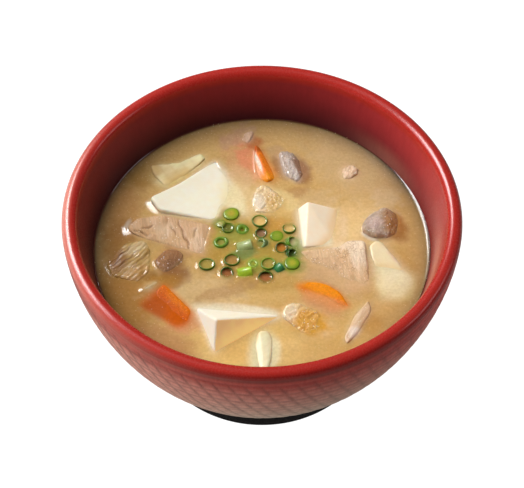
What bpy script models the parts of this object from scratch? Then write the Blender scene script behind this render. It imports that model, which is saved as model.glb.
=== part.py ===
"""A lacquered soup bowl filled with pork and vegetable miso soup.

The bowl stands on z = 0 with its axis on Z, and its front is at -Y. The soup is a solid up to its level, with
a pocket round each piece of food that stands in it, and the chopped scallion rings are one body with it.
Lengths are in millimetres up to the point where a mesh is made, and MM turns them into metres.
"""

import math

import bmesh
import bpy
from mathutils import Euler, Matrix, Vector

MM = 0.001
GAP = 0.3  # between pieces that touch
SEGMENTS = 80  # round the bowl

# The bowl: its wall, its rounded lip, the flat inside and the foot ring
BOWL_HEIGHT = 67.0
RIM_RADIUS = 63.0
LIP_ROUND = 2.4  # radius of the lip's rounding, so the wall is twice that at the top
WALL_CURVE_DEPTH = 68.4  # the outer wall's curve would close on the axis this far below the lip
WALL_CURVE_POWERS = (1.64, 2.39)
INSIDE_FLOOR = 12.5
INSIDE_CURVE_POWER = 5.0
INSIDE_STEPS = 8  # facets from the lip down to the floor
FOOT_HEIGHT = 9.6
FOOT_RADIUS = 37.8
FOOT_WALL = 4.5
FOOT_HOLLOW = 5.0
FOOT_EDGE = 0.8

# The soup
SOUP_LEVEL = 48.0

# Scallion rings
RING_SIDES = 10
RING_WALL = 0.55
RING_SHOWS = 0.9  # how far an upright ring stands out of the soup

LIP_MIDDLE = BOWL_HEIGHT - LIP_ROUND


# ---------------------------------------------------------------- scene and materials


def clear_scene():
    for obj in list(bpy.data.objects):
        bpy.data.objects.remove(obj, do_unlink=True)


def make_material(name, colour, roughness, subsurface=0.0):
    """A Principled material of one colour, given as sRGB 0 to 255."""
    material = bpy.data.materials.new(name)
    material.use_nodes = True
    shader = material.node_tree.nodes["Principled BSDF"]
    linear = [(channel / 255) ** 2.2 for channel in colour]
    shader.inputs["Base Color"].default_value = (*linear, 1)
    shader.inputs["Roughness"].default_value = roughness
    shader.inputs["Subsurface Weight"].default_value = subsurface
    material.diffuse_color = (*linear, 1)
    return material


def add_object(name, bm, *materials):
    """Turns a bmesh in millimetres into an object in metres."""
    bmesh.ops.recalc_face_normals(bm, faces=bm.faces)
    bmesh.ops.scale(bm, vec=(MM, MM, MM), verts=bm.verts)
    mesh = bpy.data.meshes.new(name)
    bm.to_mesh(mesh)
    bm.free()
    for material in materials:
        mesh.materials.append(material)
    mesh.shade_smooth()
    mesh.set_sharp_from_angle(angle=math.radians(35))
    obj = bpy.data.objects.new(name, mesh)
    bpy.context.scene.collection.objects.link(obj)
    return obj


# ---------------------------------------------------------------- turned shapes


def turn(bm, profile, segments):
    """Turns a profile of (radius, height) points about Z. Points at radius 0 become poles."""
    rings = []
    for radius, height in profile:
        if radius == 0:
            rings.append([bm.verts.new((0, 0, height))])
            continue
        angles = [2 * math.pi * i / segments for i in range(segments)]
        rings.append([bm.verts.new((radius * math.cos(a), radius * math.sin(a), height)) for a in angles])
    for lower, upper in zip(rings, rings[1:]):
        for i in range(segments):
            j = (i + 1) % segments
            corners = [lower[i % len(lower)], lower[j % len(lower)], upper[j % len(upper)], upper[i % len(upper)]]
            bm.faces.new(list(dict.fromkeys(corners)))
    return bm


def outer_radius(height):
    """The outside of the wall: a superellipse, widest at the lip."""
    power, root = WALL_CURVE_POWERS
    depth = (LIP_MIDDLE - height) / WALL_CURVE_DEPTH
    return RIM_RADIUS * (1 - depth**power) ** (1 / root)


def inner_radius(height):
    """The inside of the wall, which turns into a flat floor."""
    depth = (LIP_MIDDLE - height) / (LIP_MIDDLE - INSIDE_FLOOR)
    return (RIM_RADIUS - 2 * LIP_ROUND) * (1 - depth) ** (1 / INSIDE_CURVE_POWER)


def spread(start, end, count):
    """Evenly spaced values from start to end, both included."""
    return [start + (end - start) * i / (count - 1) for i in range(count)]


def inside_wall():
    """The inside of the wall as (radius, height) points, downwards. The steps shorten towards the floor."""
    depth = LIP_MIDDLE - INSIDE_FLOOR
    heights = [LIP_MIDDLE - depth * math.sin(0.5 * math.pi * i / INSIDE_STEPS) for i in range(1, INSIDE_STEPS)]
    return [(inner_radius(z), z) for z in heights]


def bowl_profile():
    """From the middle of the underside, out over the foot, up the wall, over the lip and down to the floor."""
    hollow_radius = FOOT_RADIUS - FOOT_WALL
    foot = [
        (0, FOOT_HOLLOW),
        (hollow_radius - FOOT_EDGE, FOOT_HOLLOW),
        (hollow_radius, FOOT_HOLLOW - FOOT_EDGE),
        (hollow_radius, 0),
        (FOOT_RADIUS - FOOT_EDGE, 0),
        (FOOT_RADIUS, FOOT_EDGE),
    ]
    outside = [(outer_radius(z), z) for z in spread(FOOT_HEIGHT, LIP_MIDDLE, 10)]
    lip = []
    for angle in spread(0, math.pi, 7)[1:]:
        radius = RIM_RADIUS - LIP_ROUND + LIP_ROUND * math.cos(angle)
        lip.append((radius, LIP_MIDDLE + LIP_ROUND * math.sin(angle)))
    return foot + outside + lip + inside_wall() + [(0, INSIDE_FLOOR)]


def make_bowl(lacquer, foot_black):
    bm = turn(bmesh.new(), bowl_profile(), SEGMENTS)
    for face in bm.faces:
        if face.calc_center_median().z < FOOT_HEIGHT:
            face.material_index = 1
    return add_object("bowl", bm, lacquer, foot_black)


def soup_profile():
    """The inside of the bowl up to the soup's level, moved in and up by the gap."""
    wall = [(radius - GAP, height + GAP) for radius, height in reversed(inside_wall())]
    below = [point for point in wall if point[1] < SOUP_LEVEL]
    above = wall[len(below)]
    share = (SOUP_LEVEL - below[-1][1]) / (above[1] - below[-1][1])
    edge_radius = below[-1][0] + share * (above[0] - below[-1][0])
    return [(0, INSIDE_FLOOR + GAP)] + below + [(edge_radius, SOUP_LEVEL), (0, SOUP_LEVEL)]


# ---------------------------------------------------------------- pieces of food


def make_block(name, corner, size, turned, edge, material):
    """A cut cube with softened edges. It reaches from one corner by size, along its own turned axes."""
    bm = bmesh.new()
    bmesh.ops.create_cube(bm, size=1)
    bmesh.ops.scale(bm, vec=[abs(side) for side in size], verts=bm.verts)
    bmesh.ops.translate(bm, vec=[side / 2 for side in size], verts=bm.verts)
    bmesh.ops.bevel(bm, geom=bm.edges[:], offset=edge, segments=2, profile=0.6, affect="EDGES")
    turn_matrix = Euler([math.radians(angle) for angle in turned]).to_matrix().to_4x4()
    bmesh.ops.transform(bm, matrix=Matrix.Translation(corner) @ turn_matrix, verts=bm.verts)
    return add_object(name, bm, material)


def make_ridged_block(name, back, front, edge, material):
    """A cut block with a low roof. Each end is a section of five points, in turn round it from the ridge.

    The points' heights are measured from the soup's level.
    """
    bm = bmesh.new()
    ends = [[bm.verts.new((x, y, SOUP_LEVEL + height)) for x, y, height in section] for section in (back, front)]
    for end in ends:
        bm.faces.new(end)
    for i in range(len(back)):
        j = (i + 1) % len(back)
        bm.faces.new([ends[0][i], ends[0][j], ends[1][j], ends[1][i]])
    bmesh.ops.bevel(bm, geom=bm.edges[:], offset=edge, segments=2, profile=0.6, affect="EDGES")
    bmesh.ops.triangulate(bm, faces=bm.faces)
    return add_object(name, bm, material)


def rounded_outline(corners, rounding):
    """The corner points of an outline, each drawn as a short curve of three points."""
    points = []
    for i, corner in enumerate(corners):
        here = Vector(corner)
        before = Vector(corners[i - 1]) - here
        after = Vector(corners[(i + 1) % len(corners)]) - here
        start = here + before.normalized() * min(rounding, 0.4 * before.length)
        end = here + after.normalized() * min(rounding, 0.4 * after.length)
        points += [start, (start + end + 2 * here) / 4, end]
    return points


def make_slice(name, corners, top, dip, thickness, material, rounding=1.2, edge=0.5, taper=0.9, relief=None):
    """A slice cut to an outline, seen from above, whose top face leans by dip along X and Y.

    top is the height of the outline's middle above the soup. relief(x, y) is added to the top face, where x and y
    are measured from that middle. taper is the size of the underside against the top.
    """
    outline = rounded_outline(corners, rounding)
    middle = sum(outline, Vector((0, 0))) / len(outline)
    reach = sum((point - middle).length for point in outline) / len(outline)

    def surface(offset):
        lift = relief(offset.x, offset.y) if relief else 0
        return SOUP_LEVEL + top + dip[0] * offset.x + dip[1] * offset.y + lift

    # Each row: how far out from the middle, and how far below the top face
    rows = [(0.4, 0), (0.75, 0), (1 - edge / reach, 0), (1, edge), (taper, thickness)]
    bm = bmesh.new()
    centre = bm.verts.new((*middle, surface(Vector((0, 0)))))
    underside = bm.verts.new((*middle, surface(Vector((0, 0))) - thickness))
    rings = [[centre] * len(outline)]
    for out, drop in rows:
        offsets = [(point - middle) * out for point in outline]
        rings.append([bm.verts.new((*(middle + offset), surface(offset) - drop)) for offset in offsets])
    rings.append([underside] * len(outline))
    for inner, outer in zip(rings, rings[1:]):
        for i in range(len(outline)):
            j = (i + 1) % len(outline)
            bm.faces.new(list(dict.fromkeys([inner[i], inner[j], outer[j], outer[i]])))
    return add_object(name, bm, material)


def dome(height, reach, along=0.0):
    """Relief of a rounded back: it falls by height over reach, away from a line that runs at an angle."""
    side = Vector((-math.sin(math.radians(along)), math.cos(math.radians(along))))
    return lambda x, y: -height * ((x * side.x + y * side.y) / reach) ** 2


def ridge(slope, along):
    """Relief of a roof with its ridge at an angle, falling to both sides."""
    side = Vector((-math.sin(math.radians(along)), math.cos(math.radians(along))))
    return lambda x, y: -slope * abs(x * side.x + y * side.y)


def waves(height, length, along):
    """Relief of folds that run at an angle, one wave each length."""
    side = Vector((-math.sin(math.radians(along)), math.cos(math.radians(along))))
    return lambda x, y: height * math.sin(2 * math.pi * (x * side.x + y * side.y) / length)


def make_tofu(material):
    """A roofed block whose front sinks, a cube with a corner up, and a large block whose right side sinks."""
    shape = dict(edge=0.5, material=material)
    back = [(14.8, 15.5, 4.2), (25.0, 15.4, 0.2), (24.4, 14.6, -13.5), (11.6, 14.8, -13.5), (11.4, 15.6, 0.0)]
    front = [(14.0, -0.8, 0.9), (24.2, 0.4, -0.9), (23.6, 0.6, -13.5), (12.6, -0.4, -13.5), (12.5, -0.7, -0.1)]
    make_ridged_block("tofu_right", back, front, **shape)
    corner_up = (-14.1, -34.3, SOUP_LEVEL + 8.0)
    make_block("tofu_front", corner_up, (23, 17, -17), turned=(-36.5, 20.7, 19.5), **shape)
    corners = [(-36.8, 18.4), (-33.6, 13.4), (-24.7, 11.8), (-15.4, 10.2), (-13.8, 12.1), (-12.8, 15.8)]
    corners += [(-9.2, 17.2), (-5.0, 18.8), (-15.2, 36.4), (-27.6, 24.9)]
    make_slice("tofu_left", corners, top=0.9, dip=(-0.11, 0), thickness=14, material=material, taper=0.96)


def make_pork(material):
    """Two broad slices and a few scraps of thin pork."""
    corners = [(-43.8, 7.8), (-41.0, 10.2), (-36.6, 12.0), (-30.6, 12.2), (-15.9, 8.4), (-18.2, -4.6)]
    corners += [(-24.6, -2.2), (-38.2, 2.6), (-42.6, 5.0)]
    folds = waves(0.35, 7.0, 80)
    make_slice("pork_left", corners, 0.9, (-0.02, 0.03), 2.4, material, taper=0.94, relief=folds)
    corners = [(11.4, -2.0), (24.9, -0.4), (27.6, 1.9), (33.2, 1.7), (34.5, -15.2), (30.5, -19.6), (20.2, -13.4)]
    folds = waves(0.25, 9.0, 20)
    make_slice("pork_right", corners, 0.6, (0.04, 0.1), 2.6, material, taper=0.94, relief=folds)
    corners = [(-7.0, 44.8), (-5.6, 48.0), (-3.0, 49.4), (-3.0, 45.6), (-4.8, 43.4)]
    make_slice("pork_scrap_back", corners, 0.6, (0, 0.12), 1.8, material, rounding=0.8)
    corners = [(26.9, 27.8), (26.2, 33.0), (29.6, 34.4), (32.2, 31.6), (30.4, 28.6)]
    make_slice("pork_scrap_right", corners, 0.6, (0.12, 0), 1.8, material, rounding=0.8)


def make_carrots(material):
    """A roof-shaped wedge, a quarter slice that leans into the soup, and a half slice with its rim up."""
    corners = [(-2.6, 42.4), (-0.8, 41.6), (5.0, 28.4), (1.8, 26.2), (-2.0, 28.2)]
    make_slice("carrot_back", corners, 1.6, (0, 0.02), 6, material, relief=ridge(0.55, -72))
    corners = [(-31.2, -14.4), (-21.9, -25.4), (-22.4, -30.2), (-26.2, -32.6), (-39.2, -23.4)]
    make_slice("carrot_left", corners, 0.0, (0.075, 0.065), 6, material)
    corners = [(9.9, -15.2), (15.0, -14.0), (20.4, -15.4), (24.7, -18.6), (28.2, -24.8), (21.8, -25.0), (14.0, -20.6)]
    make_slice("carrot_right", corners, 0.1, (0.14, 0.2), 5, material)


def make_roots(burdock, daikon):
    """Burdock cut on the slant, and daikon and taro slices."""
    corners = [(5.5, 38.8), (9.8, 39.2), (14.6, 34.6), (15.2, 30.6), (11.6, 26.4), (7.4, 29.6)]
    make_slice("burdock_back", corners, 1.0, (-0.3, 0), 7, burdock, relief=dome(1.0, 3.8, -70))
    corners = [(31.9, 5.2), (34.2, 11.4), (40.4, 16.0), (46.1, 12.1), (44.6, 4.2), (37.2, 2.7)]
    make_slice("burdock_right", corners, 2.2, (-0.14, 0), 9, burdock, rounding=2.0, relief=dome(1.6, 6.0, 45))
    corners = [(-34.9, -6.4), (-30.4, -1.0), (-25.0, -2.9), (-25.0, -8.4), (-30.6, -12.4)]
    make_slice("burdock_left", corners, 0.8, (-0.1, 0.14), 8, burdock, rounding=1.6, relief=dome(0.8, 5.0, 45))
    corners = [(-2.0, 24.0), (0.6, 25.9), (8.3, 19.7), (5.8, 14.6), (2.4, 13.4), (-2.2, 13.6), (-3.6, 16.8)]
    make_slice("daikon_back", corners, 0.4, (-0.07, 0.03), 6, daikon)
    corners = [(5.9, -27.5), (7.8, -23.4), (11.2, -22.6), (18.8, -26.4), (23.0, -32.2), (21.0, -36.0), (13.0, -34.6)]
    make_slice("daikon_front", corners, 0.2, (-0.08, 0.05), 6, daikon)
    corners = [(34.3, -0.3), (36.6, 2.3), (38.8, 1.2), (48.4, -13.2), (44.8, -20.2), (37.2, -22.0), (35.6, -8.0)]
    make_slice("taro_right", corners, 0.0, (0.02, 0.1), 7, daikon, rounding=0.8)


def make_leaves(onion, shaving):
    """Layers of onion, and thin strips that lie on edge."""
    corners = [(-49.9, -7.6), (-43.8, 1.2), (-37.4, 1.9), (-35.8, -2.0), (-35.5, -9.4), (-38.6, -15.0), (-47.8, -12.2)]
    make_slice("onion_left", corners, 0.7, (-0.02, 0.05), 3, onion, relief=waves(0.3, 3.6, 35))
    corners = [(-37.4, 33.6), (-27.5, 34.6), (-20.6, 38.8), (-18.6, 36.6), (-27.8, 26.6), (-32.2, 24.4), (-36.4, 29.6)]
    make_slice("onion_back", corners, 0.7, (0.0, 0.07), 3, onion, rounding=0.8, relief=waves(0.25, 8.0, -50))
    corners = [(-38.6, -18.0), (-36.2, -15.4), (-33.2, -13.6), (-32.6, -14.6), (-35.2, -17.4)]
    make_slice("onion_scrap", corners, 0.5, (0, 0), 1.6, onion, rounding=0.6)
    corners = [(33.6, -21.4), (34.6, -25.6), (29.8, -34.6), (26.0, -38.8), (25.4, -35.8), (29.0, -27.0)]
    make_slice("burdock_shaving", corners, 0.8, (0.0, 0.0), 3, shaving, relief=dome(0.8, 2.6, 62))
    corners = [(-1.4, -33.4), (2.4, -33.0), (3.4, -36.4), (3.0, -44.0), (1.4, -49.0), (-0.8, -48.0), (-2.6, -38.6)]
    make_slice("leek_front", corners, 0.8, (0.02, 0.0), 3, onion, relief=dome(0.8, 3.0, -86))


# Each ring: its place seen from above, its radius, its length, and how far and which way it leans in degrees.
# Rings that lean past 60 degrees lie on their side.
RINGS = (
    (-10.0, 13.0, 2.75, 3.0, 2, 90),
    (-13.2, 8.9, 1.65, 3.0, 8, 160),
    (-11.2, 7.2, 2.1, 3.0, 8, 20),
    (-6.4, 6.8, 2.3, 3.0, 12, 285),
    (-0.7, 10.0, 2.7, 3.0, 7, 100),
    (-0.3, 5.3, 2.0, 3.0, 10, 265),
    (0.3, 1.3, 2.0, 3.0, 40, 200),
    (-13.2, 1.4, 2.5, 3.0, 3, 100),
    (-5.4, 0.1, 2.0, 4.8, 78, 12),
    (4.7, 4.0, 2.25, 3.0, 10, 330),
    (8.8, 6.8, 2.3, 3.0, 13, 90),
    (9.4, 1.7, 2.0, 2.6, 60, 350),
    (6.2, -0.6, 2.1, 3.0, 10, 280),
    (9.2, -2.8, 1.7, 2.6, 60, 320),
    (-17.6, -7.6, 2.65, 3.0, 6, 90),
    (-9.6, -5.8, 2.6, 3.0, 2, 120),
    (-11.1, -10.5, 2.15, 3.0, 18, 268),
    (-2.8, -7.0, 2.1, 3.0, 4, 60),
    (2.0, -7.4, 2.5, 3.0, 5, 100),
    (-5.3, -10.5, 1.8, 4.6, 82, 8),
    (1.2, -12.2, 2.4, 3.0, 20, 265),
    (5.5, -8.8, 1.7, 2.8, 70, 40),
    (9.6, -7.2, 2.65, 3.0, 4, 60),
)


def make_ring(place, radius, length, lean, lean_towards):
    """One scallion ring, as a tube that stands in the soup and shows a little above it."""
    bm = bmesh.new()
    half = length / 2
    inner = radius - RING_WALL
    turn(bm, [(inner, -half), (radius, -half), (radius, half), (inner, half), (inner, -half)], RING_SIDES)
    bmesh.ops.remove_doubles(bm, verts=bm.verts, dist=0.001)
    # The highest point of the leaning tube keeps its height above the soup
    tilt = math.radians(lean)
    top = half * math.cos(tilt) + radius * math.sin(tilt)
    shows = RING_SHOWS + 0.6 * radius * math.sin(tilt)
    centre = Vector((*place, SOUP_LEVEL + shows - top))
    heading = Matrix.Rotation(math.radians(lean_towards), 4, "Z")
    leaning = Matrix.Rotation(tilt, 4, "Y")
    bmesh.ops.transform(bm, matrix=Matrix.Translation(centre) @ heading @ leaning, verts=bm.verts)
    return bm


# ---------------------------------------------------------------- the soup


def apply_modifiers(obj):
    """Keeps the object's evaluated mesh and drops its modifiers."""
    graph = bpy.context.evaluated_depsgraph_get()
    mesh = bpy.data.meshes.new_from_object(obj.evaluated_get(graph))
    obj.modifiers.clear()
    obj.data = mesh


def combine(obj, others, operation):
    """One Boolean with a collection of helper objects, applied, after which the helpers are removed."""
    collection = bpy.data.collections.new(f"{obj.name}_{operation.lower()}")
    bpy.context.scene.collection.children.link(collection)
    for other in others:
        bpy.context.scene.collection.objects.unlink(other)
        collection.objects.link(other)
    boolean = obj.modifiers.new(operation.title(), "BOOLEAN")
    boolean.operation = operation
    boolean.operand_type = "COLLECTION"
    boolean.collection = collection
    apply_modifiers(obj)
    for other in others:
        bpy.data.objects.remove(other, do_unlink=True)
    bpy.data.collections.remove(collection)


def pocket_cutter(piece):
    """The piece's shape, grown by the gap."""
    bm = bmesh.new()
    bm.from_mesh(piece.data)
    bm.normal_update()
    bmesh.ops.scale(bm, vec=(1 / MM, 1 / MM, 1 / MM), verts=bm.verts)
    bmesh.ops.remove_doubles(bm, verts=bm.verts, dist=0.001)
    moves = [(vert, vert.normal * vert.calc_shell_factor() * GAP) for vert in bm.verts]
    for vert, move in moves:
        vert.co += move
    return add_object(f"{piece.name}_pocket", bm)


def make_soup(pieces, broth, scallion):
    soup = add_object("soup", turn(bmesh.new(), soup_profile(), SEGMENTS), broth, scallion)
    combine(soup, [pocket_cutter(piece) for piece in pieces], "DIFFERENCE")
    rings = []
    for number, (x, y, *shape) in enumerate(RINGS):
        rings.append(add_object(f"ring_{number}", make_ring((x, y), *shape), scallion))
    combine(soup, rings, "UNION")
    return soup


def main():
    clear_scene()
    lacquer = make_material("lacquer", (170, 46, 42), 0.3)
    foot_black = make_material("foot_black", (26, 24, 25), 0.35)
    make_bowl(lacquer, foot_black)

    make_tofu(make_material("tofu", (248, 240, 222), 0.45, subsurface=0.3))
    make_pork(make_material("pork", (214, 176, 140), 0.5, subsurface=0.2))
    make_carrots(make_material("carrot", (232, 122, 30), 0.35, subsurface=0.2))
    burdock = make_material("burdock", (160, 138, 132), 0.5)
    make_roots(burdock, make_material("daikon", (228, 206, 150), 0.3, subsurface=0.3))
    onion = make_material("onion", (222, 212, 158), 0.3, subsurface=0.3)
    make_leaves(onion, make_material("shaving", (226, 200, 166), 0.5))

    pieces = [obj for obj in bpy.context.scene.objects if obj.name != "bowl"]
    broth = make_material("broth", (214, 172, 108), 0.2, subsurface=0.2)
    make_soup(pieces, broth, make_material("scallion", (110, 160, 50), 0.4))


main()
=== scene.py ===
"""Looks for a red lacquered bowl of pork and vegetable miso soup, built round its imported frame.

The bowl stands on z = 0 with its axis on Z, and its front is at -Y. Shapes are worked out in millimetres and
turned into metres, which the frame uses, where a mesh is made.
"""

import logging
import math
from dataclasses import dataclass, field
from enum import Enum
from typing import Any, Iterable, Optional, Sequence

import bpy
import numpy as np
from mathutils import Matrix, Vector, noise
from mathutils.bvhtree import BVHTree

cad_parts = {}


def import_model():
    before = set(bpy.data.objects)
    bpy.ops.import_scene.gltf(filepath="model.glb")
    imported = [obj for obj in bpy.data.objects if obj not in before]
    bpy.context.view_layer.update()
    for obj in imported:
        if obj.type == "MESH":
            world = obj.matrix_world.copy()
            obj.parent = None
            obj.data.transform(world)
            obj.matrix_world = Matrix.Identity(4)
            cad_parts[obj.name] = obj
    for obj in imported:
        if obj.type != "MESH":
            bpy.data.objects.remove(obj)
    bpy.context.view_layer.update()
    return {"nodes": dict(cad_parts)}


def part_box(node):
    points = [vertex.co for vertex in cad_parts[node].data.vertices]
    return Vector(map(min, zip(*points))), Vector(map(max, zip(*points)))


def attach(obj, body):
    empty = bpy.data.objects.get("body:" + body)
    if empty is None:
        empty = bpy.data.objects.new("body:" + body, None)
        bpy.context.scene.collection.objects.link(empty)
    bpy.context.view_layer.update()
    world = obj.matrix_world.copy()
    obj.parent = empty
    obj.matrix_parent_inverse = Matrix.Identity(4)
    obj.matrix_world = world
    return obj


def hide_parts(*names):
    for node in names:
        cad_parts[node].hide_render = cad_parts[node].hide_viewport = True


log = logging.getLogger("soup")

MM = 0.001
BODY = "root"
SOUP_LEVEL = 48.0
STOCK_IOR = 1.36  # refraction of the broth, and of the film of it on the food
TINT = "tint"  # the colour attribute that the materials read

Colour = tuple[float, float, float]
Faces = list[tuple[int, ...]]
Splits = tuple[tuple[float, float, float, float], ...]  # x, y, length and direction in degrees of each


# ---------------- numbers and meshes


def srgb(red: float, green: float, blue: float) -> Colour:
    """Turns an sRGB colour, 0 to 255, into a linear one, 0 to 1.

    Args:
        red: red channel.
        green: green channel.
        blue: blue channel.

    Returns:
        The linear colour.
    """
    shares = [channel / 255 for channel in (red, green, blue)]
    linear = [share / 12.92 if share <= 0.04045 else ((share + 0.055) / 1.055) ** 2.4 for share in shares]
    return (linear[0], linear[1], linear[2])


def ease(start: float, end: float, values: np.ndarray) -> np.ndarray:
    """Rises smoothly from 0 at start to 1 at end, or falls where end is the smaller.

    Args:
        start: value at which the result is 0.
        end: value at which the result is 1.
        values: the values to look up.

    Returns:
        Shares from 0 to 1.
    """
    share = np.clip((values - start) / (end - start), 0, 1)
    return share * share * (3 - 2 * share)


def mix(first: Any, second: Any, share: np.ndarray) -> np.ndarray:
    """Goes from one colour or array of colours to another, by a share from 0 to 1."""
    return np.asarray(first) * (1 - share) + np.asarray(second) * share


def wander(
    places: np.ndarray, size: float, seed: int, stretch: float = 1.0, run_deg: float = 0.0
) -> np.ndarray:
    """Smooth noise in lumps, which can be drawn out along a run.

    Args:
        places: points in mm, one a row.
        size: size of a lump in mm.
        seed: picks another pattern.
        stretch: how many times longer a lump is along the run.
        run_deg: direction of the run, from +X towards +Y.

    Returns:
        One value a point, between about -1 and 1.
    """
    turn = math.radians(run_deg)
    along = places[:, 0] * math.cos(turn) + places[:, 1] * math.sin(turn)
    across = places[:, 1] * math.cos(turn) - places[:, 0] * math.sin(turn)
    grid = np.stack([along / (size * stretch), across / size, places[:, 2] / size], axis=1) + 17.3 * seed
    return np.array([noise.noise(point) for point in grid.tolist()])


def add_piece(
    name: str, points: np.ndarray, faces: Faces, material: bpy.types.Material, nodes: Sequence[str]
) -> bpy.types.Object:
    """Makes a piece of the object that rides on its body and stands for some CAD nodes.

    Args:
        name: the piece's name.
        points: its points in mm.
        faces: its faces, as indices of points.
        material: its finish.
        nodes: the CAD nodes that it stands for.

    Returns:
        The piece.
    """
    mesh = bpy.data.meshes.new(name)
    mesh.from_pydata((points * MM).tolist(), [], faces)
    mesh.shade_smooth()
    mesh.materials.append(material)
    piece = bpy.data.objects.new(name, mesh)
    bpy.context.scene.collection.objects.link(piece)
    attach(piece, BODY)
    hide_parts(*nodes)
    return piece


def paint(piece: bpy.types.Object, colours: np.ndarray, polish: Optional[np.ndarray] = None) -> None:
    """Stores one linear colour a point, and how polished it is, where the materials read them.

    Args:
        piece: the piece to paint.
        colours: one colour a row.
        polish: one value a point, from 0 to 1; on food it is 1 less the painted glow.
    """
    layer = piece.data.color_attributes.new(TINT, "FLOAT_COLOR", "POINT")
    values = np.ones((len(colours), 4), np.float32)
    values[:, :3] = colours
    if polish is not None:
        values[:, 3] = polish
    layer.data.foreach_set("color", values.ravel())


def turned(radii: np.ndarray, heights: np.ndarray, columns: int) -> tuple[np.ndarray, Faces]:
    """Turns rows of radii about Z into a closed mesh with a pole at each end.

    Args:
        radii: a row for each height, with one radius, or one for each column.
        heights: the rows' heights. The first and the last are on the axis.
        columns: how many points a row has.

    Returns:
        The points and the faces.
    """
    angles = np.linspace(0, 2 * math.pi, columns, endpoint=False)
    rows = np.broadcast_to(radii, (len(heights), columns)) if radii.ndim == 2 else radii[:, None] + 0 * angles
    inner = rows[1:-1]
    x = inner * np.cos(angles)
    y = inner * np.sin(angles)
    z = np.broadcast_to(heights[1:-1, None], inner.shape)
    ring_points = np.stack([x, y, z], axis=2).reshape(-1, 3)
    points = np.concatenate([ring_points, [[0, 0, heights[0]], [0, 0, heights[-1]]]])
    first_pole = len(ring_points)
    last_pole = first_pole + 1
    last_row = (len(inner) - 1) * columns
    faces: Faces = []
    for i in range(columns):
        j = (i + 1) % columns
        faces.append((first_pole, j, i))
        faces.append((last_pole, last_row + i, last_row + j))
        for row in range(0, last_row, columns):
            faces.append((row + i, row + j, row + columns + j, row + columns + i))
    return points, faces


# ---------------- node trees


class Desk:
    """A node tree with short ways to add nodes and join them."""

    def __init__(self, tree: bpy.types.NodeTree) -> None:
        """Keeps the tree that the nodes go in."""
        self.tree = tree

    def put(self, socket: bpy.types.NodeSocket, value: Any) -> None:
        """Joins a socket to another one, or sets it to a value.

        Args:
            socket: the input.
            value: an output socket, a number or a tuple.
        """
        if isinstance(value, bpy.types.NodeSocket):
            self.tree.links.new(value, socket)
        elif isinstance(value, tuple) and socket.type == "RGBA":
            socket.default_value = (*value, 1)
        else:
            socket.default_value = value

    def feed(self, node: bpy.types.Node, **inputs: Any) -> None:
        """Joins or sets some of a node's inputs, by name, with _ for a space."""
        for name, value in inputs.items():
            self.put(node.inputs[name.replace("_", " ")], value)

    def add(self, kind: str, options: Optional[dict[str, Any]] = None, **inputs: Any) -> bpy.types.Node:
        """Adds a node.

        Args:
            kind: the node's type, without its ShaderNode prefix.
            options: its own settings.
            inputs: its inputs by name, with _ for a space.

        Returns:
            The node.
        """
        node = self.tree.nodes.new("ShaderNode" + kind)
        for option, value in (options or {}).items():
            setattr(node, option, value)
        self.feed(node, **inputs)
        return node

    def math(self, operation: str, first: Any, second: Any = 0.0) -> bpy.types.NodeSocket:
        """Adds a Math node.

        Args:
            operation: what it does.
            first: a number or an output.
            second: a number or an output.

        Returns:
            Its value.
        """
        node = self.add("Math", {"operation": operation})
        self.put(node.inputs[0], first)
        self.put(node.inputs[1], second)
        return node.outputs[0]

    def span(
        self, value: Any, low: Any, high: Any, to_low: Any = 0.0, to_high: Any = 1.0
    ) -> bpy.types.NodeSocket:
        """Maps low and high to to_low and to_high, smoothly and without overshoot.

        Args:
            value: the value to map.
            low: where the result is to_low.
            high: where the result is to_high.
            to_low: result at low.
            to_high: result at high.

        Returns:
            The mapped value.
        """
        node = self.add("MapRange", {"interpolation_type": "SMOOTHSTEP"})
        for index, item in enumerate((value, low, high, to_low, to_high)):
            self.put(node.inputs[index], item)
        return node.outputs[0]

    def blend(self, share: Any, first: Any, second: Any, mode: str = "MIX") -> bpy.types.NodeSocket:
        """Mixes two colours.

        Args:
            share: how much of the second.
            first: a colour or an output.
            second: a colour or an output.
            mode: the way of mixing.

        Returns:
            The colour.
        """
        node = self.add("Mix", {"data_type": "RGBA", "blend_type": mode, "clamp_result": True})
        self.put(node.inputs[0], share)
        self.put(node.inputs[6], first)
        self.put(node.inputs[7], second)
        return node.outputs[2]

    def place(self) -> bpy.types.NodeSocket:
        """Adds the object's own coordinates, in metres."""
        return self.add("TexCoord").outputs["Object"]

    def group(self, tree: bpy.types.NodeTree, **inputs: Any) -> bpy.types.Node:
        """Adds a node group.

        Args:
            tree: the group's tree.
            inputs: its inputs by name, with _ for a space.

        Returns:
            The node.
        """
        node = self.tree.nodes.new("ShaderNodeGroup")
        node.node_tree = tree
        self.feed(node, **inputs)
        return node


def new_group(
    name: str, inputs: dict[str, str], outputs: dict[str, str]
) -> tuple[Desk, dict[str, bpy.types.NodeSocket], bpy.types.Node]:
    """Starts a shader node group.

    Args:
        name: the group's name.
        inputs: socket names and their kinds, such as Float, Vector or Color.
        outputs: the same for what it puts out.

    Returns:
        A desk in the group, the input sockets by name, and the output node.
    """
    tree = bpy.data.node_groups.new(name, "ShaderNodeTree")
    for side, sockets in (("INPUT", inputs), ("OUTPUT", outputs)):
        for socket, kind in sockets.items():
            tree.interface.new_socket(socket, in_out=side, socket_type="NodeSocket" + kind)
    given = tree.nodes.new("NodeGroupInput")
    result = tree.nodes.new("NodeGroupOutput")
    return Desk(tree), {socket.name: socket for socket in given.outputs if socket.name}, result


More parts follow.
